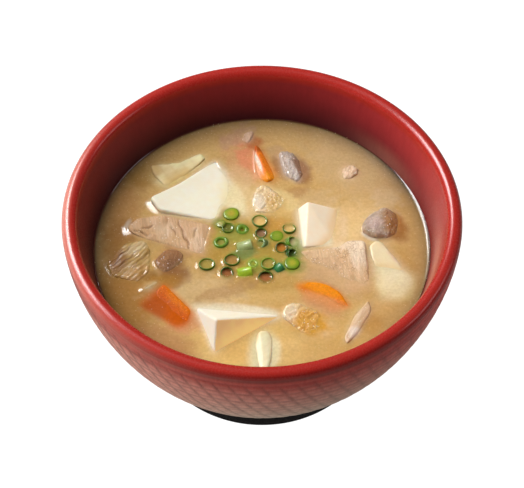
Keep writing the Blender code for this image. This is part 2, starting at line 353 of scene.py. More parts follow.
def grain_group() -> bpy.types.NodeTree:
    """Mottling: two colours in lumps of a size in mm, which can be drawn out along X.

    Returns:
        The group, with Colour and Mask outputs.
    """
    desk, given, result = new_group(
        "Grain",
        {
            "Place": "Vector", "Size": "Float", "Stretch": "Float", "Hard": "Float", "Light": "Color",
            "Dark": "Color",
        },
        {"Colour": "Color", "Mask": "Float"},
    )
    lumps = desk.math("DIVIDE", 1 / MM, given["Size"])
    thin = desk.math("DIVIDE", lumps, given["Stretch"])
    spread = desk.add("CombineXYZ", X=thin, Y=lumps, Z=lumps)
    scaled = desk.add("VectorMath", {"operation": "MULTIPLY"})
    desk.put(scaled.inputs[0], given["Place"])
    desk.put(scaled.inputs[1], spread.outputs[0])
    cloud = desk.add("TexNoise", Vector=scaled.outputs[0], Scale=1.0, Detail=5.0, Roughness=0.62)
    half = desk.math("DIVIDE", 0.5, given["Hard"])
    low = desk.math("SUBTRACT", 0.5, half)
    high = desk.math("ADD", 0.5, half)
    mask = desk.span(cloud.outputs["Fac"], low, high)
    desk.feed(result, Mask=mask, Colour=desk.blend(mask, given["Dark"], given["Light"]))
    return desk.tree


def fleck_group() -> bpy.types.NodeTree:
    """Small flecks, a share of the cells of a Voronoi pattern.

    Returns:
        The group, with a Mask output.
    """
    desk, given, result = new_group(
        "Flecks", {"Place": "Vector", "Size": "Float", "Share": "Float"}, {"Mask": "Float"}
    )
    scale = desk.math("DIVIDE", 1 / MM, given["Size"])
    cells = desk.add("TexVoronoi", Vector=given["Place"], Scale=scale)
    pick = desk.add("SeparateColor")
    desk.put(pick.inputs[0], cells.outputs["Color"])
    chosen = desk.math("LESS_THAN", pick.outputs[0], given["Share"])
    near = desk.span(cells.outputs["Distance"], 0.42, 0.12)
    desk.put(result.inputs["Mask"], desk.math("MULTIPLY", chosen, near))
    return desk.tree


def skin_group() -> bpy.types.NodeTree:
    """A moist skin: a normal and a roughness that vary with a height and a fine grain.

    Returns:
        The group, with Normal and Roughness outputs.
    """
    desk, given, result = new_group(
        "Moist skin",
        {"Place": "Vector", "Height": "Float", "Depth": "Float", "Fine": "Float", "Roughness": "Float"},
        {"Normal": "Vector", "Roughness": "Float"},
    )
    scale = desk.math("DIVIDE", 1 / MM, given["Fine"])
    fine = desk.add("TexNoise", Vector=given["Place"], Scale=scale, Detail=3.0, Roughness=0.6)
    both = desk.math("ADD", given["Height"], desk.math("MULTIPLY", fine.outputs["Fac"], 0.6))
    bump = desk.add("Bump", Height=both, Distance=given["Depth"], Strength=1.0)
    uneven = desk.span(fine.outputs["Fac"], 0.3, 0.7, to_low=0.8, to_high=1.25)
    roughness = desk.math("MULTIPLY", given["Roughness"], uneven)
    desk.feed(result, Normal=bump.outputs[0], Roughness=roughness)
    return desk.tree


def crackle_group() -> bpy.types.NodeTree:
    """A net of fine cracks, broken up in patches.

    Returns:
        The group, with a Mask output.
    """
    desk, given, result = new_group("Crackle", {"Place": "Vector", "Size": "Float"}, {"Mask": "Float"})
    scale = desk.math("DIVIDE", 1 / MM, given["Size"])
    warp = desk.add("TexNoise", Vector=given["Place"], Scale=scale, Detail=2.0)
    offset = desk.add("VectorMath", {"operation": "SCALE"}, Scale=0.0012)
    desk.put(offset.inputs[0], warp.outputs["Color"])
    bent = desk.add("VectorMath", {"operation": "ADD"})
    desk.put(bent.inputs[0], given["Place"])
    desk.put(bent.inputs[1], offset.outputs[0])
    cells = desk.add("TexVoronoi", {"feature": "DISTANCE_TO_EDGE"}, Vector=bent.outputs[0], Scale=scale)
    broad = desk.add("TexNoise", Vector=given["Place"], Scale=220.0, Detail=2.0)
    line = desk.span(cells.outputs["Distance"], 0.09, 0.0)
    shown = desk.span(broad.outputs["Fac"], 0.42, 0.6, to_low=0.1, to_high=0.75)
    desk.put(result.inputs["Mask"], desk.math("MULTIPLY", line, shown))
    return desk.tree


@dataclass
class Shelf:
    """The node groups that several finishes share."""

    grain: bpy.types.NodeTree = field(default_factory=grain_group)
    flecks: bpy.types.NodeTree = field(default_factory=fleck_group)
    skin: bpy.types.NodeTree = field(default_factory=skin_group)
    crackle: bpy.types.NodeTree = field(default_factory=crackle_group)


def new_material(name: str) -> tuple[bpy.types.Material, Desk, bpy.types.Node]:
    """Starts a material.

    Args:
        name: its name.

    Returns:
        The material, a desk in its tree, and its Principled shader.
    """
    material = bpy.data.materials.new(name)
    material.use_nodes = True
    return material, Desk(material.node_tree), material.node_tree.nodes["Principled BSDF"]


# ---------------- finishes


@dataclass(frozen=True)
class LacquerFinish:
    """Glossy lacquer over turned wood, with rings from the turning and fine upright strokes."""

    name: str
    roughness: float
    ring_depth: float = 0.000006
    ring_scale: float = 900.0
    mottle_mm: float = 7.0
    stroke_mm: float = 1.2
    stroke_stretch: float = 14.0
    plain: float = 0.85  # how much of the mottling and the strokes full polish hides
    dull: tuple[float, float] = (1.7, 0.9)  # roughness without polish, and how much of it polish takes away
    coat: float = 0.36  # where the polish is full
    coat_roughness: float = 0.2
    coat_ior: float = 1.5
    gloss: float = 0.14

    def build(self, shelf: Shelf) -> bpy.types.Material:
        """Makes the material.

        Args:
            shelf: the shared node groups.

        Returns:
            The material.
        """
        material, desk, shader = new_material(self.name)
        place = desk.place()
        axes = desk.add("SeparateXYZ", Vector=place)
        round_x = desk.math("POWER", axes.outputs["X"], 2.0)
        round_y = desk.math("POWER", axes.outputs["Y"], 2.0)
        radius = desk.math("SQRT", desk.math("ADD", round_x, round_y))
        turning = desk.add("CombineXYZ", X=radius, Y=0.0, Z=axes.outputs["Z"]).outputs[0]
        rings = desk.add("TexNoise", Vector=turning, Scale=self.ring_scale, Detail=3.0, Roughness=0.7)
        painted = desk.add("Attribute", {"attribute_name": TINT})
        tint = painted.outputs["Color"]
        polish = painted.outputs["Alpha"]
        shade = desk.blend(1.0, tint, (0.88, 0.86, 0.86), "MULTIPLY")
        mottled = desk.group(
            shelf.grain, Place=place, Size=self.mottle_mm, Stretch=1.0, Hard=2.0, Light=tint, Dark=shade
        )
        upright = desk.add("CombineXYZ", X=axes.outputs["Z"], Y=axes.outputs["X"], Z=axes.outputs["Y"])
        strokes = desk.group(
            shelf.grain, Place=upright.outputs[0], Size=self.stroke_mm, Stretch=self.stroke_stretch, Hard=2.0,
            Light=(1.0, 1.0, 1.0), Dark=(0.82, 0.78, 0.8),
        )
        colour = desk.blend(1.0, mottled.outputs["Colour"], strokes.outputs["Colour"], "MULTIPLY")
        base = desk.blend(desk.math("MULTIPLY", polish, self.plain), colour, tint)
        skin = desk.group(
            shelf.skin, Place=place, Height=rings.outputs["Fac"], Depth=self.ring_depth, Fine=0.5,
            Roughness=self.roughness,
        )
        dull = desk.math("SUBTRACT", self.dull[0], desk.math("MULTIPLY", polish, self.dull[1]))
        glaze = desk.math("MULTIPLY", desk.math("POWER", polish, 3.0), self.coat)
        desk.feed(
            shader, Base_Color=base, Normal=skin.outputs["Normal"],
            Roughness=desk.math("MULTIPLY", skin.outputs["Roughness"], dull), Specular_IOR_Level=self.gloss,
            Coat_Weight=glaze, Coat_Roughness=self.coat_roughness, Coat_IOR=self.coat_ior,
        )
        return material


@dataclass(frozen=True)
class FoodFinish:
    """One kind of food: its grain, its flecks, and how wet and how clear it is. Its colour and a painted
    glow, which lightens shaded faces, are painted on.
    """

    name: str
    slot: str
    dark: float
    grain_mm: float
    hard: float
    stretch: float = 1.0
    run_deg: float = 0.0
    fleck: Colour = (1.0, 1.0, 1.0)
    fleck_mm: float = 0.8
    fleck_share: float = 0.0
    roughness: float = 0.35
    bump: float = 0.00006
    fine_mm: float = 0.35
    coat: float = 0.6
    gloss: float = 0.25
    subsurface: float = 0.3
    reach_mm: float = 1.5
    crackle_mm: float = 0.0  # size of the cells of a net of fine dark cracks
    crack: Colour = srgb(178, 134, 94)
    scatter: Colour = (1.0, 0.7, 0.45)  # how far each channel of light spreads inside, as shares of the reach
    coat_roughness: float = 0.1

    def build(self, shelf: Shelf) -> bpy.types.Material:
        """Makes the material.

        Args:
            shelf: the shared node groups.

        Returns:
            The material.
        """
        material, desk, shader = new_material(self.name)
        turn = (0.0, 0.0, math.radians(self.run_deg))
        place = desk.add("Mapping", Vector=desk.place(), Rotation=turn).outputs[0]
        painted = desk.add("Attribute", {"attribute_name": TINT})
        tint = painted.outputs["Color"]
        # Painted glow: where the painted alpha is below 1, the colour is also given off as light.
        glow = desk.blend(painted.outputs["Alpha"], tint, (0.0, 0.0, 0.0))
        shade = desk.blend(1.0, tint, (self.dark, self.dark * 0.96, self.dark * 0.9), "MULTIPLY")
        grain = desk.group(
            shelf.grain, Place=place, Size=self.grain_mm, Stretch=self.stretch, Hard=self.hard, Light=tint,
            Dark=shade,
        )
        flecks = desk.group(shelf.flecks, Place=place, Size=self.fleck_mm, Share=self.fleck_share)
        colour = desk.blend(flecks.outputs["Mask"], grain.outputs["Colour"], self.fleck)
        if self.crackle_mm:
            cracks = desk.group(shelf.crackle, Place=place, Size=self.crackle_mm)
            colour = desk.blend(cracks.outputs["Mask"], colour, self.crack)
        skin = desk.group(
            shelf.skin, Place=place, Height=grain.outputs["Mask"], Depth=self.bump, Fine=self.fine_mm,
            Roughness=self.roughness,
        )
        desk.feed(
            shader, Base_Color=colour, Normal=skin.outputs["Normal"], Roughness=skin.outputs["Roughness"],
            Specular_IOR_Level=self.gloss, Coat_Weight=self.coat, Coat_Roughness=self.coat_roughness,
            Coat_IOR=STOCK_IOR, Subsurface_Weight=self.subsurface, Subsurface_Scale=self.reach_mm * MM,
            Subsurface_Radius=self.scatter, Emission_Color=glow, Emission_Strength=1.0,
        )
        return material


# ---------------- the bowl


@dataclass(frozen=True)
class Bearing:
    """A direction from the bowl's axis, and how strong something is round it."""

    middle_deg: float  # from +X towards +Y
    width_deg: float  # how far from the middle it has fallen to a third
    strength: float = 1.0  # in the middle

    def shares(self, angles: np.ndarray) -> np.ndarray:
        """How strong it is at some angles round the bowl.

        Args:
            angles: the angles in radians, from +X towards +Y.

        Returns:
            A bell-shaped value for each angle, with a row axis before and a colour axis after.
        """
        away = (np.degrees(angles) - self.middle_deg + 180) % 360 - 180
        return self.strength * np.exp(-((away / self.width_deg) ** 2))[None, :, None]


@dataclass(frozen=True)
class Carving:
    """The net cut into the outside: rings crossed by slanting strokes, with a swelling between two rings."""

    depth: float = 0.14
    ring_pitch: float = 3.0  # between the rings, along the wall
    ring_width: float = 0.6
    long_stray: float = 0.45  # how far a ring strays in long waves, and in short ones
    short_stray: float = 0.3
    strokes: int = 76  # round the wall
    stroke_width: float = 0.62
    stroke_run: float = 12.647  # how far down the wall a stroke has moved on by one pitch
    stroke_sway: float = 0.3  # how far the strokes crowd and spread in turn, in pitches
    weights: tuple[float, float, float] = (0.55, 0.75, 0.35)  # depth of ring, stroke and swelling
    darkness: tuple[float, float, float] = (0.32, 0.42, 0.16)  # how dark a ring, a stroke and the cells between are painted: darker lacquer in the cuts and painted shade in them
    starts: tuple[float, float] = (1.6, 4.0)  # way down the wall over which the net sets in
    stops: tuple[float, float] = (0.5, 3.0)  # way up from the foot over which it sets in

    def cut(self, arc: np.ndarray, radii: np.ndarray, angles: np.ndarray) -> tuple[np.ndarray, np.ndarray]:
        """Works out the net on the wall.

        Args:
            arc: way down the wall from the lip, one value a row.
            radii: the wall's radius at each row.
            angles: the columns' angles in radians.

        Returns:
            The depth in mm, a row for each arc and a value for each column, and how dark the cuts are painted
            there, with painted shade in them.
        """
        angles = angles[None, :]
        arc = arc[:, None]
        full_turn = 2 * math.pi
        stray = self.long_stray * np.sin(5 * angles + 0.6)
        stray = stray + self.short_stray * np.sin(11 * angles + 0.21 * arc)
        from_ring = (arc + stray) / self.ring_pitch
        from_ring = (from_ring - np.round(from_ring)) * self.ring_pitch
        turn = angles * self.strokes / full_turn - arc / self.stroke_run
        turn = turn + self.stroke_sway * np.sin(3 * angles)
        from_stroke = (turn - np.round(turn)) * full_turn * radii[:, None] / self.strokes
        ring_press = 0.7 + 0.3 * np.sin(4 * angles + 0.9 * arc)
        stroke_press = 0.55 + 0.45 * np.sin(angles - 0.8 * math.pi)
        rings = np.exp(-((from_ring / self.ring_width) ** 2)) * ring_press
        strokes = np.exp(-((from_stroke / self.stroke_width) ** 2)) * stroke_press * (1 - rings)
        swelling = 0.25 * (1 + np.cos(full_turn * from_ring / self.ring_pitch))
        cells = 0.5 + 0.5 * np.sin(turn * full_turn + 1.0) * np.sin(math.pi * arc / self.ring_pitch)
        fade = ease(*self.starts, arc) * ease(arc.max() - self.stops[0], arc.max() - self.stops[1], arc)
        depth = sum(weight * form for weight, form in zip(self.weights, (rings, strokes, swelling)))
        dark = sum(weight * form for weight, form in zip(self.darkness, (rings, strokes, cells)))
        return self.depth * fade * depth, fade * dark


@dataclass(frozen=True)
class Rows:
    """Rows of the bowl's section: their radii, heights, colours and polish."""

    radii: np.ndarray  # one for each row and column
    heights: np.ndarray
    colours: np.ndarray  # one for each row and column
    polish: np.ndarray


@dataclass
class LacquerBowl:
    """The turned bowl: a carved wall, a rounded lip, a smooth inside, and a black foot ring."""

    rim_radius: float
    height: float
    lip_round: float = 2.4
    wall_depth: float = 68.4  # the outer wall's curve would close on the axis this far below the lip
    wall_powers: tuple[float, float] = (1.64, 2.39)
    inside_floor: float = 12.5
    inside_power: float = 5.0
    foot_height: float = 9.6
    foot_radius: float = 37.8
    foot_wall: float = 4.5
    foot_hollow: float = 5.0
    foot_edge: float = 0.8
    foot_waist: float = 0.35  # how far the foot draws in at half its height
    columns: int = 720
    foot_columns: int = 240
    carving: Carving = Carving()
    outside_red: Colour = srgb(190, 72, 62)
    # Painted reflection of the pale floor, which pales the red towards the foot.
    floor_reflection: Colour = srgb(220, 216, 190)
    sheen: Colour = srgb(236, 164, 146)  # the outside where it faces the light
    glow: Colour = srgb(224, 158, 130)  # the inside where the broth shines on it
    lip_red: Colour = srgb(180, 44, 36)
    inside_red: Colour = srgb(176, 48, 54)
    # Painted shade deeper in the bowl, down towards the broth.
    deep_shade_red: Colour = srgb(82, 26, 36)
    black: Colour = srgb(20, 18, 18)
    left: Bearing = Bearing(204, 32)
    left_front: Bearing = Bearing(223, 34)
    right_front: Bearing = Bearing(342, 34)
    left_shade: Bearing = Bearing(194, 17, 0.42)
    lip_left: Bearing = Bearing(174, 22, 0.48)
    inside_right: Bearing = Bearing(-8, 40)
    # Where the painted reflection of the lit broth falls on the inside.
    inside_shine: Bearing = Bearing(-17, 17, 0.5)
    inside_low_reflection: Bearing = Bearing(40, 14, 0.2)
    inside_polish: float = 0.45
    reflection_start: float = 4.0  # how far below the lip the painted reflection of the floor begins to pale the red
    reflection_reach: float = 44.0  # height over which that painted reflection grows
    lip_shadow: float = 0.55  # how much the lip darkens the wall just under it
    front_light: float = 0.68  # how much brighter the front right is
    away_shadow: float = 0.06  # how much darker the wall is away from the lit sides
    neck_shadow: float = 0.16  # how much more so in the few mm below the lip
    left_sheen: float = 0.82  # how much of the sheen the front left takes
    lip_edge_shadow: float = 0.5  # how much darker the lip's outer side is
    lip_edge_sheen: float = 0.3  # how much of the sheen its left takes
    inside_light: tuple[float, float] = (0.68, 0.44)  # brightness away from the light, and gain towards it
    inside_cast: Colour = (0.08, -0.05, 0.35)  # what each channel loses at the right of the inside

    @property
    def lip_middle(self) -> float:
        """Height of the middle of the lip's rounding."""
        return self.height - self.lip_round

    @property
    def angles(self) -> np.ndarray:
        """Angles of the columns, in radians."""
        return np.linspace(0, 2 * math.pi, self.columns, endpoint=False)

    def outer_radius(self, heights: np.ndarray) -> np.ndarray:
        """Radius of the outside of the wall at some heights."""
        power, root = self.wall_powers
        return self.rim_radius * (1 - ((self.lip_middle - heights) / self.wall_depth) ** power) ** (1 / root)

    def inner_radius(self, heights: np.ndarray) -> np.ndarray:
        """Radius of the inside of the wall at some heights."""
        depth = (self.lip_middle - heights) / (self.lip_middle - self.inside_floor)
        return (self.rim_radius - 2 * self.lip_round) * np.clip(1 - depth, 0, 1) ** (1 / self.inside_power)

    def outside_rows(self) -> Rows:
        """The carved wall, from the foot up to the lip.

        Returns:
            The rows, the lowest first.
        """
        split = 24.0  # the rows are a little closer below it
        lower = np.linspace(self.foot_height, split, 36)
        upper = np.linspace(split + 0.4, self.lip_middle, 84)
        heights = np.concatenate([lower, upper])
        radii = self.outer_radius(heights)
        steps = np.hypot(np.diff(heights), np.diff(radii))
        arc = np.concatenate([[0], np.cumsum(steps[::-1])])[::-1]
        carved, cuts = self.carving.cut(arc, radii, self.angles)
        colours = self.outside_colours(heights, cuts[:, :, None])
        return Rows(radii[:, None] - carved, heights, colours, self.polish(heights))

    def outside_colours(self, heights: np.ndarray, cuts: np.ndarray) -> np.ndarray:
        """Colours of the carved wall: paler towards the foot with a painted reflection of the floor, with
        painted shade and light round it, and a painted sheen where it faces the light.

        Args:
            heights: the rows' heights.
            cuts: how dark the cuts are, for each row and column.

        Returns:
            A colour for each row and column.
        """
        below = (self.lip_middle - heights)[:, None, None]
        left = self.left.shares(self.angles)
        left_front = self.left_front.shares(self.angles)
        right_front = self.right_front.shares(self.angles)
        # Painted reflection: the red pales towards the foot as the floor would show in it, less so at the
        # front right.
        reflection_share = np.clip((below - self.reflection_start) / self.reflection_reach, 0, 1) ** 0.9 * (1 - 0.75 * right_front)
        colours = mix(self.outside_red, self.floor_reflection, reflection_share) * (1 - cuts)
        # Painted shade under the lip and away from the lit sides, painted light at the front right, and a
        # painted sheen at the front left.
        under_lip = ease(2.4, 0.6, below)
        colours *= 1 - self.lip_shadow * under_lip * (1 - left) * (1 - 0.7 * right_front)
        colours *= 1 + self.front_light * right_front - self.left_shade.shares(self.angles)
        neck = ease(10.0, 4.0, below)
        shadow = self.away_shadow + self.neck_shadow * neck
        colours *= 1 - shadow * (1 - left_front) * (1 - right_front)
        paler = self.left_sheen * left_front * (1 - 0.7 * neck)
        return mix(colours, np.array(self.sheen) * (1 - 1.2 * cuts), paler)

    def lip_rows(self) -> Rows:
        """The rounded lip, from the outside over the top to the inside.

        Returns:
            The rows, the outermost first.
        """
        turn = np.linspace(0, math.pi, 18)[1:]
        radii = self.rim_radius - self.lip_round + self.lip_round * np.cos(turn)
        heights = self.lip_middle + self.lip_round * np.sin(turn)
        turn_deg = np.degrees(turn)[:, None, None]
        left = self.left.shares(self.angles)
        right_front = self.right_front.shares(self.angles)
        colours = np.tile(np.array(self.lip_red), (len(turn), self.columns, 1))
        outer_side = ease(62, 26, turn_deg)
        colours *= 1 - self.lip_edge_shadow * outer_side * (1 - 0.8 * left) * (1 - 0.7 * right_front)
        lit = self.lip_edge_sheen * left * ease(85, 30, turn_deg)
        lit = lit + self.lip_left.shares(self.angles) * ease(115, 60, turn_deg)
        colours = mix(colours, self.sheen, lit)
        return Rows(radii[:, None] + np.zeros((1, self.columns)), heights, colours, self.polish(heights))

    def inside_rows(self) -> Rows:
        """The smooth inside, from the lip down the wall and to the middle of the floor.

        Returns:
            The rows, the highest first.
        """
        depth = self.lip_middle - self.inside_floor
        wall_heights = self.lip_middle - depth * np.sin(0.5 * math.pi * np.linspace(0, 1, 44)[1:-1])
        wall_radii = self.inner_radius(wall_heights)
        floor_radii = np.linspace(wall_radii[-1], 0, 5)[1:]
        radii = np.concatenate([wall_radii, floor_radii])
        heights = np.concatenate([wall_heights, np.full(len(floor_radii), self.inside_floor)])
        right = self.inside_right.shares(self.angles)
        # Painted shade: darker down towards the broth, less so at the right, where the light falls.
        down_share = ease(self.lip_middle, SOUP_LEVEL - 1, heights)[:, None, None]
        colours = mix(self.inside_red, self.deep_shade_red, down_share * (1 - 0.4 * right))
        # Painted light and shade round the inside: brighter towards the light, with a warmer cast at the
        # right, where the light falls.
        towards_light = ease(-0.6, 0.4, np.cos(self.angles + 0.25 * math.pi))[None, :, None]
        dimmest, gain = self.inside_light
        colours = colours * (dimmest + gain * towards_light) * (1 - right * np.array(self.inside_cast))
        # Painted reflection of the lit broth on the inside: on the right halfway down, and just above the
        # broth at the back right.
        shone_on = self.inside_shine.shares(self.angles) * ease(0.0, 0.5, down_share) * ease(1.0, 0.6, down_share)
        low_reflection = self.inside_low_reflection.shares(self.angles) * ease(0.55, 0.95, down_share)
        colours = mix(mix(colours, self.glow, shone_on), self.glow, low_reflection)
        polish = np.full(len(heights), self.inside_polish)
        return Rows(radii[:, None] + np.zeros((1, self.columns)), heights, colours, polish)

    def polish(self, heights: np.ndarray) -> np.ndarray:
        """How polished the outside and the lip are at some heights."""
        return ease(self.lip_middle - 1, self.lip_middle + 1.4, heights)

    def build_body(self, material: bpy.types.Material) -> bpy.types.Object:
        """Makes the red bowl above its foot.

        Args:
            material: its finish.

        Returns:
            The piece.
        """
        parts = (self.outside_rows(), self.lip_rows(), self.inside_rows())
        middle = np.zeros((1, self.columns))
        radii = np.concatenate([middle] + [part.radii for part in parts])
        heights = np.concatenate([[self.foot_height]] + [part.heights for part in parts])
        points, faces = turned(radii, heights, self.columns)
        piece = add_piece("lacquered_bowl", points, faces, material, ["bowl"])
        colours = np.concatenate([part.colours for part in parts])
        polish = np.concatenate([part.polish for part in parts])
        every_colour = np.concatenate([colours[:-1].reshape(-1, 3), colours[[0, -1], 0]])
        every_polish = np.concatenate([np.repeat(polish[:-1], self.columns), polish[[0, -1]]])
        paint(piece, every_colour, every_polish)
        return piece

    def build_foot(self, material: bpy.types.Material) -> bpy.types.Object:
        """Makes the black foot ring and the black underside within it.

        Args:
            material: its finish.

        Returns:
            The piece.
        """
        hollow = self.foot_radius - self.foot_wall
        top = self.foot_height - 0.02
        edge = self.foot_edge
        bend = np.linspace(0, 0.5 * math.pi, 6)
        profile = [(0, self.foot_hollow), (hollow - edge, self.foot_hollow)]
        inner = hollow - edge
        upper = self.foot_hollow - edge
        profile += [(inner + edge * math.sin(a), upper + edge * math.cos(a)) for a in bend[1:]]
        profile += [(hollow, 0.25), (hollow + 0.25, 0), (self.foot_radius - edge, 0)]
        outer = self.foot_radius - edge
        profile += [(outer + edge * math.sin(a), edge - edge * math.cos(a)) for a in bend[1:]]
        top_radius = float(self.outer_radius(np.array([self.foot_height]))[0])
        profile += [(self.foot_radius - self.foot_waist, 0.5 * self.foot_height), (top_radius, top), (0, top)]
        rows = np.array(profile)
        points, faces = turned(rows[:, 0], rows[:, 1], self.foot_columns)
        piece = add_piece("black_foot", points, faces, material, ["bowl"])
        paint(piece, np.tile(np.array(self.black), (len(points), 1)), np.full(len(points), 0.1))
        return piece


# ---------------- pieces of food

BROTH_TINT = srgb(222, 184, 122)
CREAM = srgb(255, 247, 226)
AMBER = srgb(226, 184, 110)


@dataclass(frozen=True)
class Patch:
    """A soft-edged area of another colour, seen from above."""

    centre: tuple[float, float]
    reach: tuple[float, float]
    turn_deg: float
    colour: Colour
    strength: float = 1.0
    ragged: float = 0.25  # how far its edge strays, as a share of its reach
    stray_mm: float = 2.2  # size of the lumps in its edge
    full: float = 0.5  # share of the reach within which all of it shows
    end: float = 1.3  # share of the reach at which it has faded out

    def mask(self, places: np.ndarray) -> np.ndarray:
        """How much of the patch shows at some points.

        Args:
            places: points in mm.

        Returns:
            Shares from 0 to 1.
        """
        turn = math.radians(self.turn_deg)
        dx = places[:, 0] - self.centre[0]
        dy = places[:, 1] - self.centre[1]
        along = (dx * math.cos(turn) + dy * math.sin(turn)) / self.reach[0]
        across = (dy * math.cos(turn) - dx * math.sin(turn)) / self.reach[1]
        away = np.hypot(along, across)
        shares = np.zeros(len(places))
        near = away < self.end + 0.3
        if self.ragged:
            away[near] += self.ragged * wander(places[near], self.stray_mm, 5)
        shares[near] = self.strength * ease(self.end, self.full, away[near])
        return shares


def tinted(places: np.ndarray, base: Colour, patches: Iterable[Patch]) -> np.ndarray:
    """Colours of some points: a base with patches laid over it in turn.

    Args:
        places: points in mm.
        base: the colour under the patches.
        patches: the patches.

    Returns:
        One colour a row.
    """
    colours = np.tile(np.array(base), (len(places), 1))
    for patch in patches:
        colours = mix(colours, patch.colour, patch.mask(places)[:, None])
    return colours


@dataclass(frozen=True)
class Side:
    """Another colour on the faces that look one way: painted light and shade by the way a face looks, with a
    painted glow.
    """

    azimuth_deg: float  # from +X towards +Y
    elevation_deg: float
    colour: Colour
    strength: float = 1.0
    near: float = 0.7  # cosine of the angle at which it starts to show
    full: float = 0.9
    glow: float = 0.0  # painted glow: light given off that lightens the faces
    patches: tuple[Patch, ...] = ()

    def mask(self, normals: np.ndarray) -> np.ndarray:
        """How much of the colour shows where the surface looks along some normals.

        Args:
            normals: the surface's directions, one a row.

        Returns:
            Shares from 0 to the strength.
        """
        azimuth = math.radians(self.azimuth_deg)
        elevation = math.radians(self.elevation_deg)
        flat = math.cos(elevation)
        towards = np.array([math.cos(azimuth) * flat, math.sin(azimuth) * flat, math.sin(elevation)])
        return self.strength * ease(self.near, self.full, normals @ towards)


@dataclass(frozen=True)
class Sink:
    """A side of a piece that slopes down into the broth, past a line."""

    at: tuple[float, float]  # a point of the line
    away_deg: float  # the way it goes down, from +X towards +Y
    slope: float = 0.4
    start: float = 1.0  # mm over which the slope sets in
    deepest: float = 3.0

    def drop(self, points: np.ndarray) -> np.ndarray:
        """How far some points are lowered. The piece's underside stays.

        Args:
            points: points in mm.

        Returns:
            Distances in mm.
        """
        heading = math.radians(self.away_deg)
        dx = points[:, 0] - self.at[0]
        dy = points[:, 1] - self.at[1]
        past = np.maximum(dx * math.cos(heading) + dy * math.sin(heading), 0)
        fall = self.slope * past * past / (past + self.start)
        return np.minimum(fall, self.deepest) * ease(SOUP_LEVEL - 5, SOUP_LEVEL - 0.5, points[:, 2])


class Relief(Enum):
    """How the surface of a piece of food is shaped beyond its solid."""

    SMOOTH = "smooth"
    PORES = "pores"
    FIBRES = "fibres"
    RIBS = "ribs"
    CRUMPLE = "crumple"


@dataclass(frozen=True)
class Cut:
    """One piece of food: the node that it stands for, its colours and its surface."""

    node: str
    colour: Colour
    relief: Relief
    depth: float
    run_deg: float = 0.0
    pitch: float = 1.5
    meniscus: float = 0.5
    spread: float = 0.8  # mm over which the meniscus falls to a third
    fade: float = 1.0  # depth in mm at which a third of it still shows through the broth
    bleed: float = 0.5  # how far its colour spreads sideways in the broth
    seen: float = 1.0  # how much of it shows where it is just under the surface
    rounding: int = 4
    soak: float = 0.6  # how much of the broth's colour it takes at the waterline
    soak_height: float = 0.8
    patches: tuple[Patch, ...] = ()
    sides: tuple[Side, ...] = ()
    sinks: tuple[Sink, ...] = ()
    splits: Splits = ()
    split_width: float = 0.26
    split_deep: float = 0.45
    veil: tuple[Patch, ...] = ()  # other colours where it shows through the broth

    def lift(self, places: np.ndarray) -> np.ndarray:
        """Height of the relief at some points of the surface.

        Args:
            places: points in mm.

        Returns:
            Heights in mm, along the surface's normal.
        """
        seed = sum(ord(letter) for letter in self.node) % 37
        broad = wander(places, 5.0, seed)
        if self.relief is Relief.SMOOTH:
            return self.depth * broad
        if self.relief is Relief.PORES:
            return self.depth * (0.7 * broad + 0.3 * wander(places, 0.9, seed + 1))
        if self.relief is Relief.CRUMPLE:
            folds = 1 - 2 * np.abs(wander(places, self.pitch, seed + 2, 2.0, self.run_deg))
            return self.depth * (folds + 0.4 * wander(places, 0.8, seed + 3))
        if self.relief is Relief.RIBS:
            turn = math.radians(self.run_deg)
            across = places[:, 1] * math.cos(turn) - places[:, 0] * math.sin(turn) + 0.5 * broad
            rib = np.abs(np.sin(math.pi * across / self.pitch)) ** 0.7
            return self.depth * (rib - 0.6 + 0.4 * wander(places, 1.2, seed + 4, 4.0, self.run_deg))
        fibre = wander(places, 0.55, seed + 5, 7.0, self.run_deg)
        bundle = wander(places, 1.6, seed + 6, 4.0, self.run_deg)
        return self.depth * (0.5 * fibre + 0.8 * bundle + 0.4 * broad) - self.split_depth(places)

    def split_depth(self, places: np.ndarray) -> np.ndarray:
        """Depth of the splits that open between the fibres.

        Args:
            places: points in mm.

        Returns:
            Depths in mm.
        """
        depth = np.zeros(len(places))
        for x, y, length, run_deg in self.splits:
            turn = math.radians(run_deg)
            dx = places[:, 0] - x
            dy = places[:, 1] - y
            along = dx * math.cos(turn) + dy * math.sin(turn)
            across = dy * math.cos(turn) - dx * math.sin(turn) + 0.25 * np.sin(1.3 * along + x)
            section = (across / self.split_width) ** 2 + (along / (0.5 * length)) ** 4
            depth = np.maximum(depth, self.split_deep * np.exp(-section))
        return depth


@dataclass
class Morsel:
    """A built piece with the shape that the broth is fitted to."""

    piece: bpy.types.Object
    points: np.ndarray
    triangles: np.ndarray
    cut: Cut

    def tree(self) -> BVHTree:
        """The shape as a tree for ray casts."""
        return BVHTree.FromPolygons(self.points.tolist(), self.triangles.tolist())


def fine_copy(node: bpy.types.Object, voxel: float, rounding: int) -> bpy.types.Mesh:
    """Copies a node's solid into a mesh of small even faces with softened edges.

    Args:
        node: the CAD node's object.
        voxel: size of a face in mm.
        rounding: how many times the edges are softened.

    Returns:
        The new mesh, in metres.
    """
    helper = bpy.data.objects.new("helper", node.data.copy())
    bpy.context.scene.collection.objects.link(helper)
    remesh = helper.modifiers.new("Even faces", "REMESH")
    remesh.mode = "VOXEL"
    remesh.voxel_size = voxel * MM
    soften = helper.modifiers.new("Soft edges", "SMOOTH")
    soften.factor = 0.5
    soften.iterations = rounding
    graph = bpy.context.evaluated_depsgraph_get()
    mesh = bpy.data.meshes.new_from_object(helper.evaluated_get(graph))
    bpy.data.objects.remove(helper)
    return mesh


